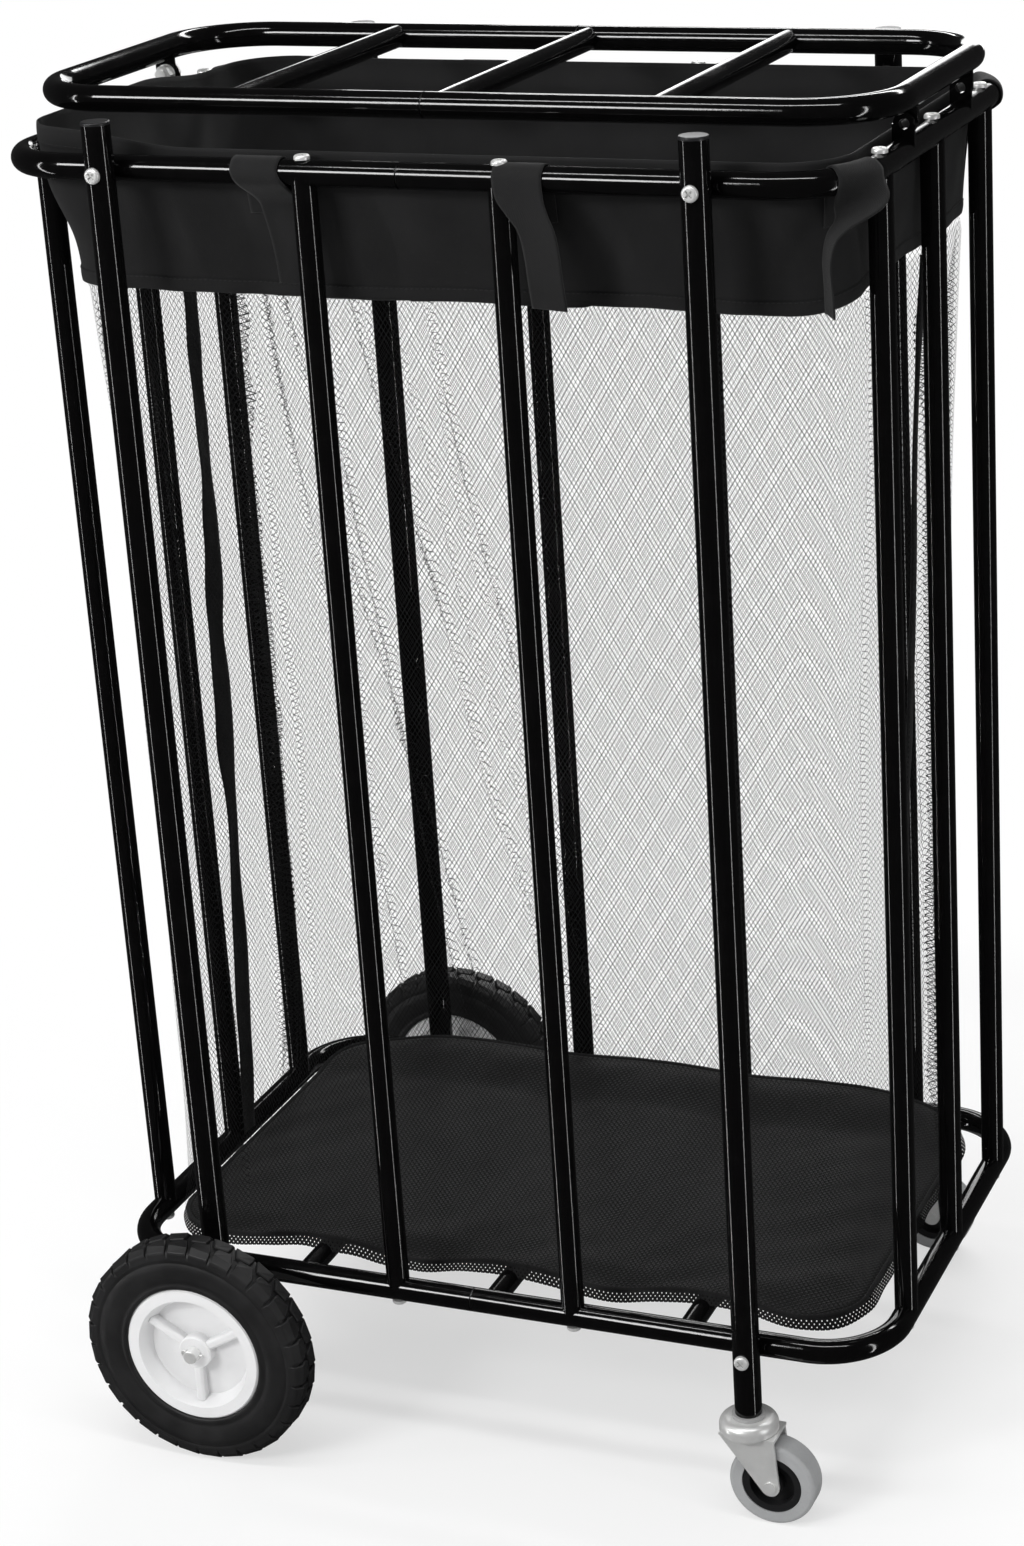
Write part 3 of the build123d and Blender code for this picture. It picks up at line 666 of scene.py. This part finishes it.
def stitch_rule():
    """Rounded stitches laid end to end along the edges of the carrier's line."""
    rule = Rule("stitches_along_a_line", [("Pitch", "Float"), ("Length", "Float"), ("Width", "Float"),
                                          ("Material", "Material")])
    given = rule.given
    line = rule.add("GeometryNodeMeshToCurve", {}, {0: given("Geometry")})
    inputs = {0: line.outputs[0], "Length": given("Pitch")}
    points = rule.add("GeometryNodeCurveToPoints", {"mode": "LENGTH"}, inputs)
    ball = rule.add("GeometryNodeMeshUVSphere", {}, {"Segments": 6, "Rings": 4, "Radius": 0.5})
    size = rule.add("ShaderNodeCombineXYZ", {}, {0: given("Width"), 1: given("Width"), 2: given("Length")})
    inputs = {"Points": points.outputs[0], "Instance": ball.outputs[0],
              "Rotation": points.outputs["Rotation"], "Scale": size.outputs[0]}
    rule.end(rule.add("GeometryNodeInstanceOnPoints", {}, inputs).outputs[0])
    return rule


def wheel_rule():
    """Copies of the carrier's block round an axle along Y, through the origin."""
    rule = Rule("blocks_round_an_axle", [("Count", "Int"), ("Phase", "Float"), ("Centre", "Vector"),
                                         ("Material", "Material")])
    given = rule.given

    def maths(operation, first, second):
        return rule.add("ShaderNodeMath", {"operation": operation}, {0: first, 1: second}).outputs[0]

    dots = rule.add("GeometryNodePoints", {}, {"Count": given("Count"), "Position": given("Centre")})
    index = rule.add("GeometryNodeInputIndex")
    step = maths("DIVIDE", math.tau, given("Count"))
    angle = maths("MULTIPLY", maths("ADD", index.outputs[0], given("Phase")), step)
    spin = rule.add("ShaderNodeCombineXYZ", {}, {1: angle})
    inputs = {"Points": dots.outputs[0], "Instance": given("Geometry"), "Rotation": spin.outputs[0]}
    rule.end(rule.add("GeometryNodeInstanceOnPoints", {}, inputs).outputs[0])
    return rule


def stitches(name, points, closed=False):
    """A row of stitches that follows points."""
    mesh = bpy.data.meshes.new(name + "_line")
    edges = [(i, i + 1) for i in range(len(points) - 1)]
    if closed:
        edges.append((len(points) - 1, 0))
    mesh.from_pydata([tuple(p) for p in points], edges, [])
    pitch = settings("bag").stitch_pitch
    values = {"Pitch": pitch, "Length": pitch * STITCH_SHARE, "Width": STITCH_WIDTH,
              "Material": finish_of("thread")}
    return stitch_rule().run(in_scene(mesh.name, mesh), values, name)


# ---------------------------------------------------------------- the bag


def attach(piece, body):
    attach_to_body(piece, body)


def sheet_on_cage(piece, node):
    """A sheet of cloth or net that takes a CAD node's place on the cage."""
    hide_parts(node)
    attach(piece, "cage")


def trim_on_cage(piece):
    attach(piece, "cage")


class HAMPER_OT_band(bpy.types.Operator):
    """Sew the cloth band that hangs inside the top rim, with its hems."""

    bl_idname = "hamper.band"
    bl_label = "Cloth band"

    def execute(self, context):
        wall, bag = Wall(), settings("bag")
        drop = bag.band_drop

        def dip(share):
            x, y, _, _ = wall.on(wall.middle, share)
            turned_up = 0.010 * ease((x - 0.28) / 0.05) * ease((y + 0.19) / 0.08)
            return 0.0020 * wall.edge(share * wall.around) + turned_up

        def top(share):
            return wall.top_z + wall.lift(share)

        def foot(share):
            return wall.band_z + dip(share)

        def place(share, up):
            z = wall.band_z + dip(share) * (1 - up) + (drop + wall.lift(share)) * up
            return wall.point(share, z, 0.0006)

        flat = (wall.around, drop)
        band = thicken(grid("bag_band_cloth", "cloth", place, 26, BAG_COLUMNS, True, flat), bag.cloth)
        sheet_on_cage(band, "bag_band")

        def hem(name, low, high):
            def lie(share, up):
                swell = HEM_SWELL * math.sin(math.pi * (0.06 + 0.88 * up))
                return wall.point(share, low(share) + (high(share) - low(share)) * up, swell + 0.0009)

            strip = grid(name, "cloth", lie, 6, BAG_COLUMNS, True, (wall.around, HEM_WIDTH))
            trim_on_cage(thicken(strip, TRIM_CLOTH))

        hem("band_top_hem", lambda s: top(s) - 0.015, top)
        hem("band_lower_hem", foot, lambda s: foot(s) + 0.011)
        for name, height in (("band_top_stitches", lambda s: top(s) - 0.0135),
                             ("band_lower_stitches", lambda s: foot(s) + 0.0095)):
            shares = [i / BAG_COLUMNS for i in range(BAG_COLUMNS)]
            trim_on_cage(stitches(name, [wall.point(s, height(s), STITCH_OUT) for s in shares], True))
        return {"FINISHED"}


class HAMPER_OT_net(bpy.types.Operator):
    """Hang the net walls, with the seam tapes down both ends."""

    bl_idname = "hamper.net"
    bl_label = "Net walls"

    def execute(self, context):
        wall, bag = Wall(), settings("bag")
        height = wall.band_z - wall.low_z

        def place(share, up):
            z = wall.low_z + 0.001 + (height + 0.004) * up
            bottom = bell(up, 0.0, 0.02) * 0.004
            return wall.point(share, min(z, wall.band_z + 0.003), bottom)

        flat = (wall.around, height)
        net = grid("bag_net_walls", "net", place, 68, 900, True, flat)
        sheet_on_cage(net, "bag_net")

        tapes = (("net_seam_left", -1, -0.004, TAPE_LEFT), ("net_seam_right", 1, 0.0, TAPE_RIGHT))
        for name, side, start, wide in tapes:
            middle = wall.share_of(side, start)
            drift = waves(20 + side, 5, 14, 60)

            def tape(across, up, side=side, middle=middle, drift=drift, wide=wide):
                z = wall.low_z + 0.006 + (height - 0.004) * up
                lean = 0.003 * drift(z) * math.sin(math.pi * up) - 0.040 * (0.5 - up) * side
                span = wide * (1 + 0.22 * drift(z * 1.7 + 2))
                share = middle + (lean + (across - 0.5) * span) / wall.around
                ruck = 0.0010 * drift(z * 3.1 + across * 2) * math.sin(math.pi * across)
                return wall.point(share, z, 0.0012 + 0.0012 * math.sin(math.pi * across) + ruck)

            trim_on_cage(thicken(grid(name, "cloth", tape, 160, 6, False, (wide, height)), TRIM_CLOTH))
            line = [tape(0.2, i / 120) + Vector((side * 0.0006, 0, 0)) for i in range(121)]
            trim_on_cage(stitches(name + "_stitches", line))
        return {"FINISHED"}


class HAMPER_OT_panel(bpy.types.Operator):
    """Lay the bottom panel on the cross bars, with its bound edge."""

    bl_idname = "hamper.panel"
    bl_label = "Bottom panel"

    def execute(self, context):
        wall = Wall()
        low, high = FLOOR
        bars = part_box("bottom_cross_bars")
        pitch = (bars[1].x - bars[0].x - (bars[1].z - bars[0].z)) / 2
        centre = (bars[1].x + bars[0].x) / 2
        ripple, cross, broad = waves(31, 5, 12, 40), waves(32, 5, 12, 40), waves(34, 4, 22, 46)

        def rise(x, y, inner):
            """How high the panel lies: on the bars, sagging between them, turned up at the rear."""
            nearest = min(abs(x - centre - k * pitch) for k in (-1, 0, 1))
            span = ease((nearest - PANEL_REST) / (pitch / 2 - PANEL_REST))
            sag = -(PANEL_SAG + PANEL_EDGE_SAG * (1.0 - ease(inner * 6))) * span
            puff = PANEL_PUFF * ripple(x + 0.3 * y) * cross(y - 0.2 * x) * ease(inner * 4)
            near_edge = ease(inner * 9) * (1 - ease(inner * 1.6))
            crease = PANEL_CREASE * ripple(2.2 * (x - 1.3 * y)) * near_edge
            ends = 1 - 0.4 * ease((abs(x) - 0.2) / 0.1)
            back = PANEL_BACK * ease((y - high.y + 0.05) / 0.06) * ends
            drape = PANEL_DRAPE * broad(0.9 * x + 0.5 * y) * ease(inner * 3)
            lifted = ease((y + 0.06) / 0.12) * (1 - ease((abs(x) - 0.22) / 0.07))
            return (1 - 0.7 * lifted) * sag + puff + crease + back + drape + PANEL_LIFT

        mid_x, mid_y = (low.x + high.x) / 2, (wall.bottom.y0 + wall.bottom.y1) / 2

        def place(share, out):
            x, y, _, _ = wall.on(wall.bottom, share)
            k = out ** 0.85
            x, y = mid_x + (x - mid_x) * k, mid_y + (y - mid_y) * k
            return Vector((x, y, low.z + rise(x, y, 1 - k)))

        columns, rows = 240, 40
        verts = [place(c / columns, (r + 1) / rows) for r in range(rows) for c in range(columns)]
        verts.append(place(0.0, 0.0))
        faces = []
        for r in range(rows - 1):
            for c in range(columns):
                d, low_row, high_row = (c + 1) % columns, r * columns, (r + 1) * columns
                faces.append((low_row + c, high_row + c, high_row + d, low_row + d))
        faces += [(len(verts) - 1, c, (c + 1) % columns) for c in range(columns)]
        corners = [(verts[i].x, verts[i].y) for face in faces for i in face]
        panel = thicken(new_piece("bag_bottom_panel", verts, faces, "panel", corners), PANEL_CLOTH)
        sheet_on_cage(panel, "bag_bottom")

        def beside(share, out, up):
            """A place beside the panel's edge, out from it and up from its cloth."""
            x, y, nx, ny = wall.on(wall.bottom, share)
            return Vector((x + nx * out, y + ny * out, low.z + rise(x, y, 0.0) + up))

        def binding(share, around):
            angle = math.tau * around
            r = BINDING_R + 0.0002 * wall.folds(share * wall.around)
            return beside(share, r * math.cos(angle) + 0.0012, r * math.sin(angle))

        ring = grid("bottom_panel_binding", "cloth", binding, 12, 360, True, (wall.around, HEM_WIDTH))
        trim_on_cage(sealed(ring))

        hang = waves(33, 5, 18, 70)

        def fringe(share, up):
            turn = share * wall.around
            drop = (0.010 + 0.004 * hang(turn)) * (1 - up)
            return beside(share, 0.0030 + 0.0014 * wall.folds(turn) + 0.0035 * (1 - up), 0.001 - drop)

        skirt = grid("bottom_net_fringe", "fringe", fringe, 4, 720, True, (wall.around, FRINGE_WIDTH))
        trim_on_cage(skirt)
        line = [binding(i / 360, 0.25) + Vector((0, 0, 0.0002)) for i in range(360)]
        trim_on_cage(stitches("bottom_panel_stitches", line, True))
        return {"FINISHED"}


# ---------------------------------------------------------------- straps


def smooth_line(points, count):
    """Even samples on a curve through points, in any number of dimensions."""
    points = np.array(points, float)
    padded = np.vstack([2 * points[0] - points[1], points, 2 * points[-1] - points[-2]])
    dense = []
    for i in range(1, len(padded) - 2):
        for t in np.linspace(0, 1, 24, endpoint=False):
            a, b, c, d = padded[i - 1 : i + 3]
            dense.append(0.5 * (2 * b + (c - a) * t + (2 * a - 5 * b + 4 * c - d) * t**2
                                + (3 * b - a - 3 * c + d) * t**3))
    dense.append(points[-1])
    dense = np.array(dense)
    steps = np.r_[0, np.cumsum(np.linalg.norm(np.diff(dense[:, :3], axis=0), axis=1))]
    even = np.linspace(0, steps[-1], count)
    return np.column_stack([np.interp(even, steps, dense[:, k]) for k in range(dense.shape[1])]), steps[-1]


class RailPlace:
    """Turns along, outward and up, measured from a rail's centre line, into a place on the cage."""

    def __init__(self, centre, outward, corner=None):
        self.centre, self.outward, self.corner = Vector(centre), outward, corner

    def out_of(self, point):
        """How far out of the rail's centre line a point lies."""
        if self.corner is not None:
            return math.hypot(point.x - self.corner[0], point.y - self.corner[1]) - RIM_CORNER
        away = point - self.centre
        return away.x * math.cos(self.outward) + away.y * math.sin(self.outward)

    def at(self, along, out, up):
        if self.corner is not None:
            angle, reach = self.outward + along / RIM_CORNER, RIM_CORNER + out
            x, y = self.corner
            return Vector((x + reach * math.cos(angle), y + reach * math.sin(angle), RIM_Z + up))
        nx, ny = math.cos(self.outward), math.sin(self.outward)
        return self.centre + Vector((nx * out - ny * along, ny * out + nx * along, up))


def strap_path(tail, lies, lean=0.0, flare=0.0, narrow=0.94):
    """Along, out, up and share of the width: off the band, over the rail and down its front."""
    r = RIM_R + STRAP_OFF_RIM
    points = [(0.0, lies(up) + 0.0012, up, 1.0) for up in (-0.034, -0.016)]
    for degrees in (185, 160, 130, 100, 70, 40, 10):
        a = math.radians(degrees)
        points.append((0.0, r * math.cos(a), r * math.sin(a), 1.0))
    if flare:
        for k in (0.10, 0.22, 0.36, 0.55, 0.78, 1.0):
            slide = ease(k * 2.1)
            out = r + flare * math.sin(math.pi * k) - 0.003 * k
            width = 1.0 - (1.0 - narrow) * ease(k * 2.6)
            points.append((lean * slide + 0.004 * k, out, -tail * k - 0.004, width))
    else:
        wide_r = r + 0.0004
        for degrees in (-20, -50):
            a = math.radians(degrees)
            points.append((lean * (10 - degrees) / 90, wide_r * math.cos(a), wide_r * math.sin(a), 1.0))
        for k in (0.26, 0.42, 0.6, 0.8, 1.0):
            over = 0.0022 + 0.0060 * bell(k, 0.14, 0.15)
            points.append((lean * (1 + k), lies(-tail * k) + over, -tail * k, narrow))
    return points


def make_strap(name, where, wall, tail, lean=0.0, flare=0.0, twist=0.0, narrow=0.94, seed=0):
    s = settings("strap")
    top = where.at(0.0, 0.0, 0.0)
    share = wall.share_of(top.x, top.y)
    per_metre = (0.83 if where.corner is not None else 1.0) / wall.around

    def lies(up, along=0.0):
        return where.out_of(wall.point(share + along * per_metre, RIM_Z + up, 0.0))

    samples, length = smooth_line(strap_path(tail, lies, lean, flare, narrow), 90)
    ruck = waves(50 + seed, 4, 60, 190)

    def lie(across, on):
        k = on * (len(samples) - 1)
        i = min(int(k), len(samples) - 2)
        row = samples[i] + (samples[i + 1] - samples[i]) * (k - i)
        side = (across - 0.5) * s.width * row[3]
        turn = twist * ease((on - 0.40) / (0.42 if abs(twist) < 1 else 0.22))
        ripple = 0.0004 * ruck(on * length) * ease((on - 0.4) * 3) * math.cos(math.pi * (across - 0.5))
        along, out = row[0] + side * math.cos(turn), row[1] + side * math.sin(turn) + ripple
        if row[2] < -RIM_R * 0.7:
            out = max(out, lies(row[2], along) + 0.0022)
        return where.at(along, out, row[2])

    strap = thicken(grid(name, "strap", lie, 110, 14, False, (s.width, length)), s.thickness)
    sheet_on_cage(strap, "straps")


class HAMPER_OT_straps(bpy.types.Operator):
    """Wrap the hook-and-loop straps that hang the bag from the top rim."""

    bl_idname = "hamper.straps"
    bl_label = "Straps"

    def execute(self, context):
        wall, tail = Wall(), settings("strap").tail
        front, rear, left = -math.pi / 2, math.pi / 2, math.pi
        corner_x, corner_y = RIM_X - RIM_CORNER, RIM_Y - RIM_CORNER
        rails = [
            ("strap_front_left", (-0.113, -RIM_Y), front, 0.007, 0.0, 0.0, 0.93),
            ("strap_front_right", (0.095, -RIM_Y), front, 0.015, 0.0035, 0.22, 0.80),
            ("strap_rear_left", (-0.113, RIM_Y), rear, -0.006, 0.0, 0.0, 0.94),
            ("strap_rear_right", (0.113, RIM_Y), rear, 0.005, 0.0, 0.0, 0.94),
            ("strap_left_end", (-RIM_X, 0.038), left, 0.004, 0.0, 0.0, 0.94),
        ]
        for number, (name, spot, outward, lean, flare, twist, narrow) in enumerate(rails):
            place = RailPlace((*spot, RIM_Z), outward)
            make_strap(name, place, wall, tail, lean, flare, twist, narrow, seed=1 + number)
        middle = math.radians(26)
        corners = [
            ("front_right", -middle, 1, -1, -0.030, 0.0012, 1.66, 0.62),
            ("rear_right", middle, 1, 1, 0.004, 0.0, 0.0, 0.94),
            ("rear_left", math.pi - middle, -1, 1, 0.004, 0.0, 0.0, 0.94),
        ]
        for number, (word, angle, sx, sy, lean, flare, twist, narrow) in enumerate(corners):
            place = RailPlace((0, 0, 0), angle, (sx * corner_x, sy * corner_y))
            make_strap("strap_corner_" + word, place, wall, tail, lean, flare, twist, narrow, seed=6 + number)
        return {"FINISHED"}


# ---------------------------------------------------------------- tyres


def lug(name, half, height):
    """One tread block about the top of the wheel: broad at the shoulder, stepped towards the middle."""
    pitch = math.tau * TYRE_R / settings("tyre").lugs
    wide, narrow = pitch * 0.44, pitch * 0.30
    outline = [(-wide, 0.94), (wide, 0.94), (wide, 0.62), (narrow * 1.6, 0.40), (narrow * 1.5, 0.08),
               (-narrow * 0.5, -0.02), (-wide * 0.8, 0.42), (-wide * 0.95, 0.66)]
    body = bmesh.new()
    rings = []
    for depth, scale in ((-height - 0.002, 1.06), (-0.0008, 1.0), (0.0, 0.93)):
        ring = []
        for along, share in outline:
            mid = half * 0.5
            across = mid + (half * share - mid) * scale
            along *= scale
            drop = 0.0050 * max(0.0, (across / half - 0.60) / 0.34) ** 2
            reach = TYRE_R + depth - drop
            angle = along / TYRE_R
            ring.append(body.verts.new((reach * math.sin(angle), across, reach * math.cos(angle))))
        rings.append(ring)
    for low, high in zip(rings, rings[1:]):
        for i in range(len(outline)):
            j = (i + 1) % len(outline)
            body.faces.new((low[i], low[j], high[j], high[i]))
    body.faces.new(rings[-1])
    body.faces.new(list(reversed(rings[0])))
    bmesh.ops.recalc_face_normals(body, faces=body.faces)
    mesh = bpy.data.meshes.new(name)
    body.to_mesh(mesh)
    body.free()
    return mesh


class HAMPER_OT_tyres(bpy.types.Operator):
    """Mould the lugged tyres of the two large wheels."""

    bl_idname = "hamper.tyres"
    bl_label = "Tyres"

    def execute(self, context):
        tyre = settings("tyre")
        half, r0, r1 = TYRE_HALF, HUB_R + 0.00005, TYRE_R - tyre.lug_height
        profile = [(r0, -0.0155), (r0 + 0.0014, -0.0163), (r0 + 0.004, -0.0160), (r0 + 0.0056, -0.0151),
                   (r0 + 0.0072, -0.0157), (r0 + 0.012, -0.0166), (r0 + 0.018, -0.0170), (r0 + 0.0245, -0.0165),
                   (r0 + 0.0252, -0.0158), (r0 + 0.0262, -0.0165), (r1 - 0.0055, -0.0161), (r1 - 0.0022, -0.0142),
                   (r1 - 0.0004, -0.0112), (r1 + 0.0002, -0.0070), (r1 + 0.0004, 0.0)]
        profile = [(r, y * half / DRAWN_HALF) for r, y in profile]
        loop = profile + [(r, -y) for r, y in reversed(profile[:-1])] + [profile[0]]
        for word in ("front", "rear"):
            low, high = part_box("wheel_tyre_" + word)
            centre = Vector((WHEEL_X, (low.y + high.y) / 2, TYRE_R))

            def turn(around, across, centre=centre):
                r, y = loop[round(across * (len(loop) - 1))]
                angle = math.tau * around
                return centre + Vector((r * math.sin(angle), y, r * math.cos(angle)))

            carcass = sealed(grid("tyre_body_" + word, "tyre", turn, len(loop) - 1, 144, True))
            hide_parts("wheel_tyre_" + word)
            attach(carcass, "big_wheel_" + word)
            for row, sign in (("outer", -1), ("inner", 1)):
                mesh = lug("lug", half, tyre.lug_height)
                if sign < 0:
                    mesh.transform(Matrix.Rotation(math.pi, 4, "Z"))
                values = {"Count": tyre.lugs, "Phase": LUG_STAGGER * sign, "Centre": tuple(centre),
                          "Material": finish_of("tyre")}
                tread = wheel_rule().run(in_scene("lug", mesh), values, f"tyre_lugs_{row}_{word}")
                bevel = tread.modifiers.new("edges", "BEVEL")
                bevel.width, bevel.segments, bevel.limit_method = LUG_EDGE, 1, "ANGLE"
                attach(made_plain(tread, tread.name), "big_wheel_" + word)
        return {"FINISHED"}


# ---------------------------------------------------------------- finishes on the frame's own parts

WORN = {
    "powder": ("top_rim", "bottom_rim", "bottom_cross_bars", "leg_front", "leg_rear", "front_bars", "rear_bars",
               "left_bars", "right_bars", "rim_hinge_tabs", "rim_lock_tabs", "lid_rail", "lid_cross_bars",
               "lid_hinge_tabs", "lid_lock_tabs"),
    "steel": ("rim_plugs", "lid_plugs", "bar_inserts", "leg_inserts"),
    "zinc": ("bar_screws", "leg_screws", "hinge_bolts", "hinge_washers", "hinge_nuts", "wheel_axles", "axle_pins",
             "caster_stem", "caster_fork", "caster_axle", "caster_balls"),
    "black_plastic": ("leg_caps", "caster_hub"),
    "grey_plastic": ("axle_spacers", "caster_socket"),
    "hub": ("wheel_hub",),
    "tread": ("caster_tyre",),
    "tyre": ("wheel_tyre",),
    "cloth": ("bag_band", "bag_bottom", "straps"),
    "net": ("bag_net",),
}


class HAMPER_OT_finishes(bpy.types.Operator):
    """Give every part of the frame its material."""

    bl_idname = "hamper.finishes"
    bl_label = "Finishes"

    def execute(self, context):
        for name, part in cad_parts.items():
            keys = [key for key, starts in WORN.items() if name.startswith(starts)]
            if len(keys) != 1:
                raise RuntimeError(f"{name} has {len(keys)} finishes")
            slots = part.data.materials
            if not slots:
                slots.append(None)
            for index in range(len(slots)):
                slots[index] = finish_of(keys[0])
        return {"FINISHED"}


# ---------------------------------------------------------------- stage


class HAMPER_OT_stage(bpy.types.Operator):
    """Set the floor, the soft light and the camera."""

    bl_idname = "hamper.stage"
    bl_label = "Stage"

    def execute(self, context):
        self.aim_camera()
        self.lay_floor()
        self.light_world()
        self.hang_lamps()
        context.scene.view_settings.view_transform = "Standard"
        return {"FINISHED"}

    def aim_camera(self):
        data = bpy.data.cameras.new("camera")
        data.lens, data.sensor_width, data.sensor_fit = settings("stage").lens, 36.0, "AUTO"
        data.shift_x, data.shift_y = -0.1091, -0.0082
        data.clip_end = 60.0
        camera = in_scene("camera", data)
        camera.location = (1.0330, -2.3629, 1.5302)
        camera.rotation_euler = tuple(math.radians(a) for a in (68.893, 2.566, 20.267))
        bpy.context.scene.camera = camera

    def lay_floor(self):
        """Pale floor that fades into the backdrop, and that glossy parts don't mirror."""
        corners = [(x, y, 0.0) for x, y in ((-FLOOR_HALF, -FLOOR_HALF), (FLOOR_HALF, -FLOOR_HALF),
                                            (FLOOR_HALF, FLOOR_HALF), (-FLOOR_HALF, FLOOR_HALF))]
        mesh = bpy.data.meshes.new("studio_floor")
        mesh.from_pydata(corners, [], [(0, 1, 2, 3)])
        f = Finish("pale_studio_floor", Roughness=0.85, **{"Specular IOR Level": 0.05})
        where = f.place()
        soft = f.noise(where, 3.0, 2.0)
        f.feed("Base Color", f.blend(soft, (0.90, 0.90, 0.90), (0.93, 0.93, 0.93)))
        rays = f.add("ShaderNodeLightPath")
        x, y, _ = f.parts(where)
        far = (x * x + y * y).mapped(0.20, 1.30)
        glow = f.add("ShaderNodeEmission", {}, {"Color": (1.0, 1.0, 1.0), "Strength": 1.0}).out()
        clear = f.add("ShaderNodeBsdfTransparent").out()
        lit = f.add("ShaderNodeMixShader", {}, {0: rays.out("Is Camera Ray") * (0.58 + far * 0.42),
                                                1: f.surface.out(), 2: glow}).out()
        seen = f.add("ShaderNodeMixShader", {}, {0: rays.out("Is Glossy Ray"), 1: lit, 2: clear}).out()
        f.tree.links.new(seen.socket, f.output.inputs["Surface"])
        mesh.materials.append(f.material)
        in_scene("studio_floor", mesh)

    def light_world(self):
        """White behind the object, soft light on it, and almost nothing for its gloss to mirror."""
        world = bpy.data.worlds.new("studio")
        world.use_nodes = True
        tree = world.node_tree
        tree.nodes.clear()
        rays = add_node(tree, "ShaderNodeLightPath")
        seen, soft, mirrored = (
            add_node(tree, "ShaderNodeBackground", {}, {"Color": (1, 1, 1), "Strength": strength}).outputs[0]
            for strength in (1.0, 0.42, 0.035)
        )
        dim = add_node(tree, "ShaderNodeMixShader", {}, {0: rays.outputs["Is Glossy Ray"], 1: soft, 2: mirrored})
        mix = add_node(tree, "ShaderNodeMixShader", {}, {0: rays.outputs["Is Camera Ray"], 1: dim.outputs[0], 2: seen})
        add_node(tree, "ShaderNodeOutputWorld", {}, {0: mix.outputs[0]})
        bpy.context.scene.world = world

    def hang_lamps(self):
        key = settings("stage").key
        lamps = [
            ("key_softbox", (-1.5, -2.9, 2.3), (0.0, 0.0, 0.6), (1.3, 0.7), key),
            ("top_strip", (0.1, -0.9, 3.0), (0.0, 0.0, 0.6), (2.4, 0.16), key * 0.42),
            ("back_strip", (0.2, 1.9, 2.5), (0.0, 0.0, 0.8), (2.6, 0.20), key * 0.42),
            ("left_edge", (-2.4, -1.5, 0.3), (0.0, 0.0, 0.3), (0.10, 3.6), key * 0.34),
            ("right_edge", (3.0, -0.9, 0.2), (0.0, 0.0, 0.2), (0.16, 3.8), key * 0.42),
            ("rear_fill", (-0.6, 2.9, 1.4), (0.0, 0.0, 0.6), (1.8, 1.2), key * 0.4),
        ]
        for name, place, target, size, power in lamps:
            light = bpy.data.lights.new(name, "AREA")
            light.shape, light.size, light.size_y, light.energy = "RECTANGLE", size[0], size[1], power
            lamp = in_scene(name, light)
            lamp.location = place
            aim = Vector(target) - Vector(place)
            lamp.rotation_euler = aim.to_track_quat("-Z", "Y").to_euler()


class HAMPER_PT_panel(bpy.types.Panel):
    """Sidebar panel with every step of the hamper."""

    bl_idname = "HAMPER_PT_panel"
    bl_label = "Rolling mesh hamper"
    bl_space_type = "VIEW_3D"
    bl_region_type = "UI"
    bl_category = "Hamper"

    def draw(self, context):
        for operator in OPERATORS:
            self.layout.operator(operator.bl_idname)
        for group in GROUPS:
            box = self.layout.box()
            box.label(text=group.title())
            for name in GROUPS[group].__annotations__:
                box.prop(settings(group), name)


GROUPS = {"bag": BagSettings, "strap": StrapSettings, "tyre": TyreSettings, "finish": FinishSettings,
          "stage": StageSettings}
OPERATORS = [HAMPER_OT_stage, HAMPER_OT_finishes, HAMPER_OT_band, HAMPER_OT_net, HAMPER_OT_panel, HAMPER_OT_straps,
             HAMPER_OT_tyres]


def register():
    for kind in [*GROUPS.values(), *OPERATORS, HAMPER_PT_panel]:
        bpy.utils.register_class(kind)
    for name, kind in GROUPS.items():
        setattr(bpy.types.Scene, "hamper_" + name, PointerProperty(type=kind))


def unregister():
    for name in GROUPS:
        delattr(bpy.types.Scene, "hamper_" + name)
    for kind in [HAMPER_PT_panel, *reversed(OPERATORS), *reversed(GROUPS.values())]:
        bpy.utils.unregister_class(kind)


def main():
    register()
    for operator in OPERATORS:
        family, name = operator.bl_idname.split(".")
        getattr(getattr(bpy.ops, family), name)()


if __name__ == "__main__":
    main()
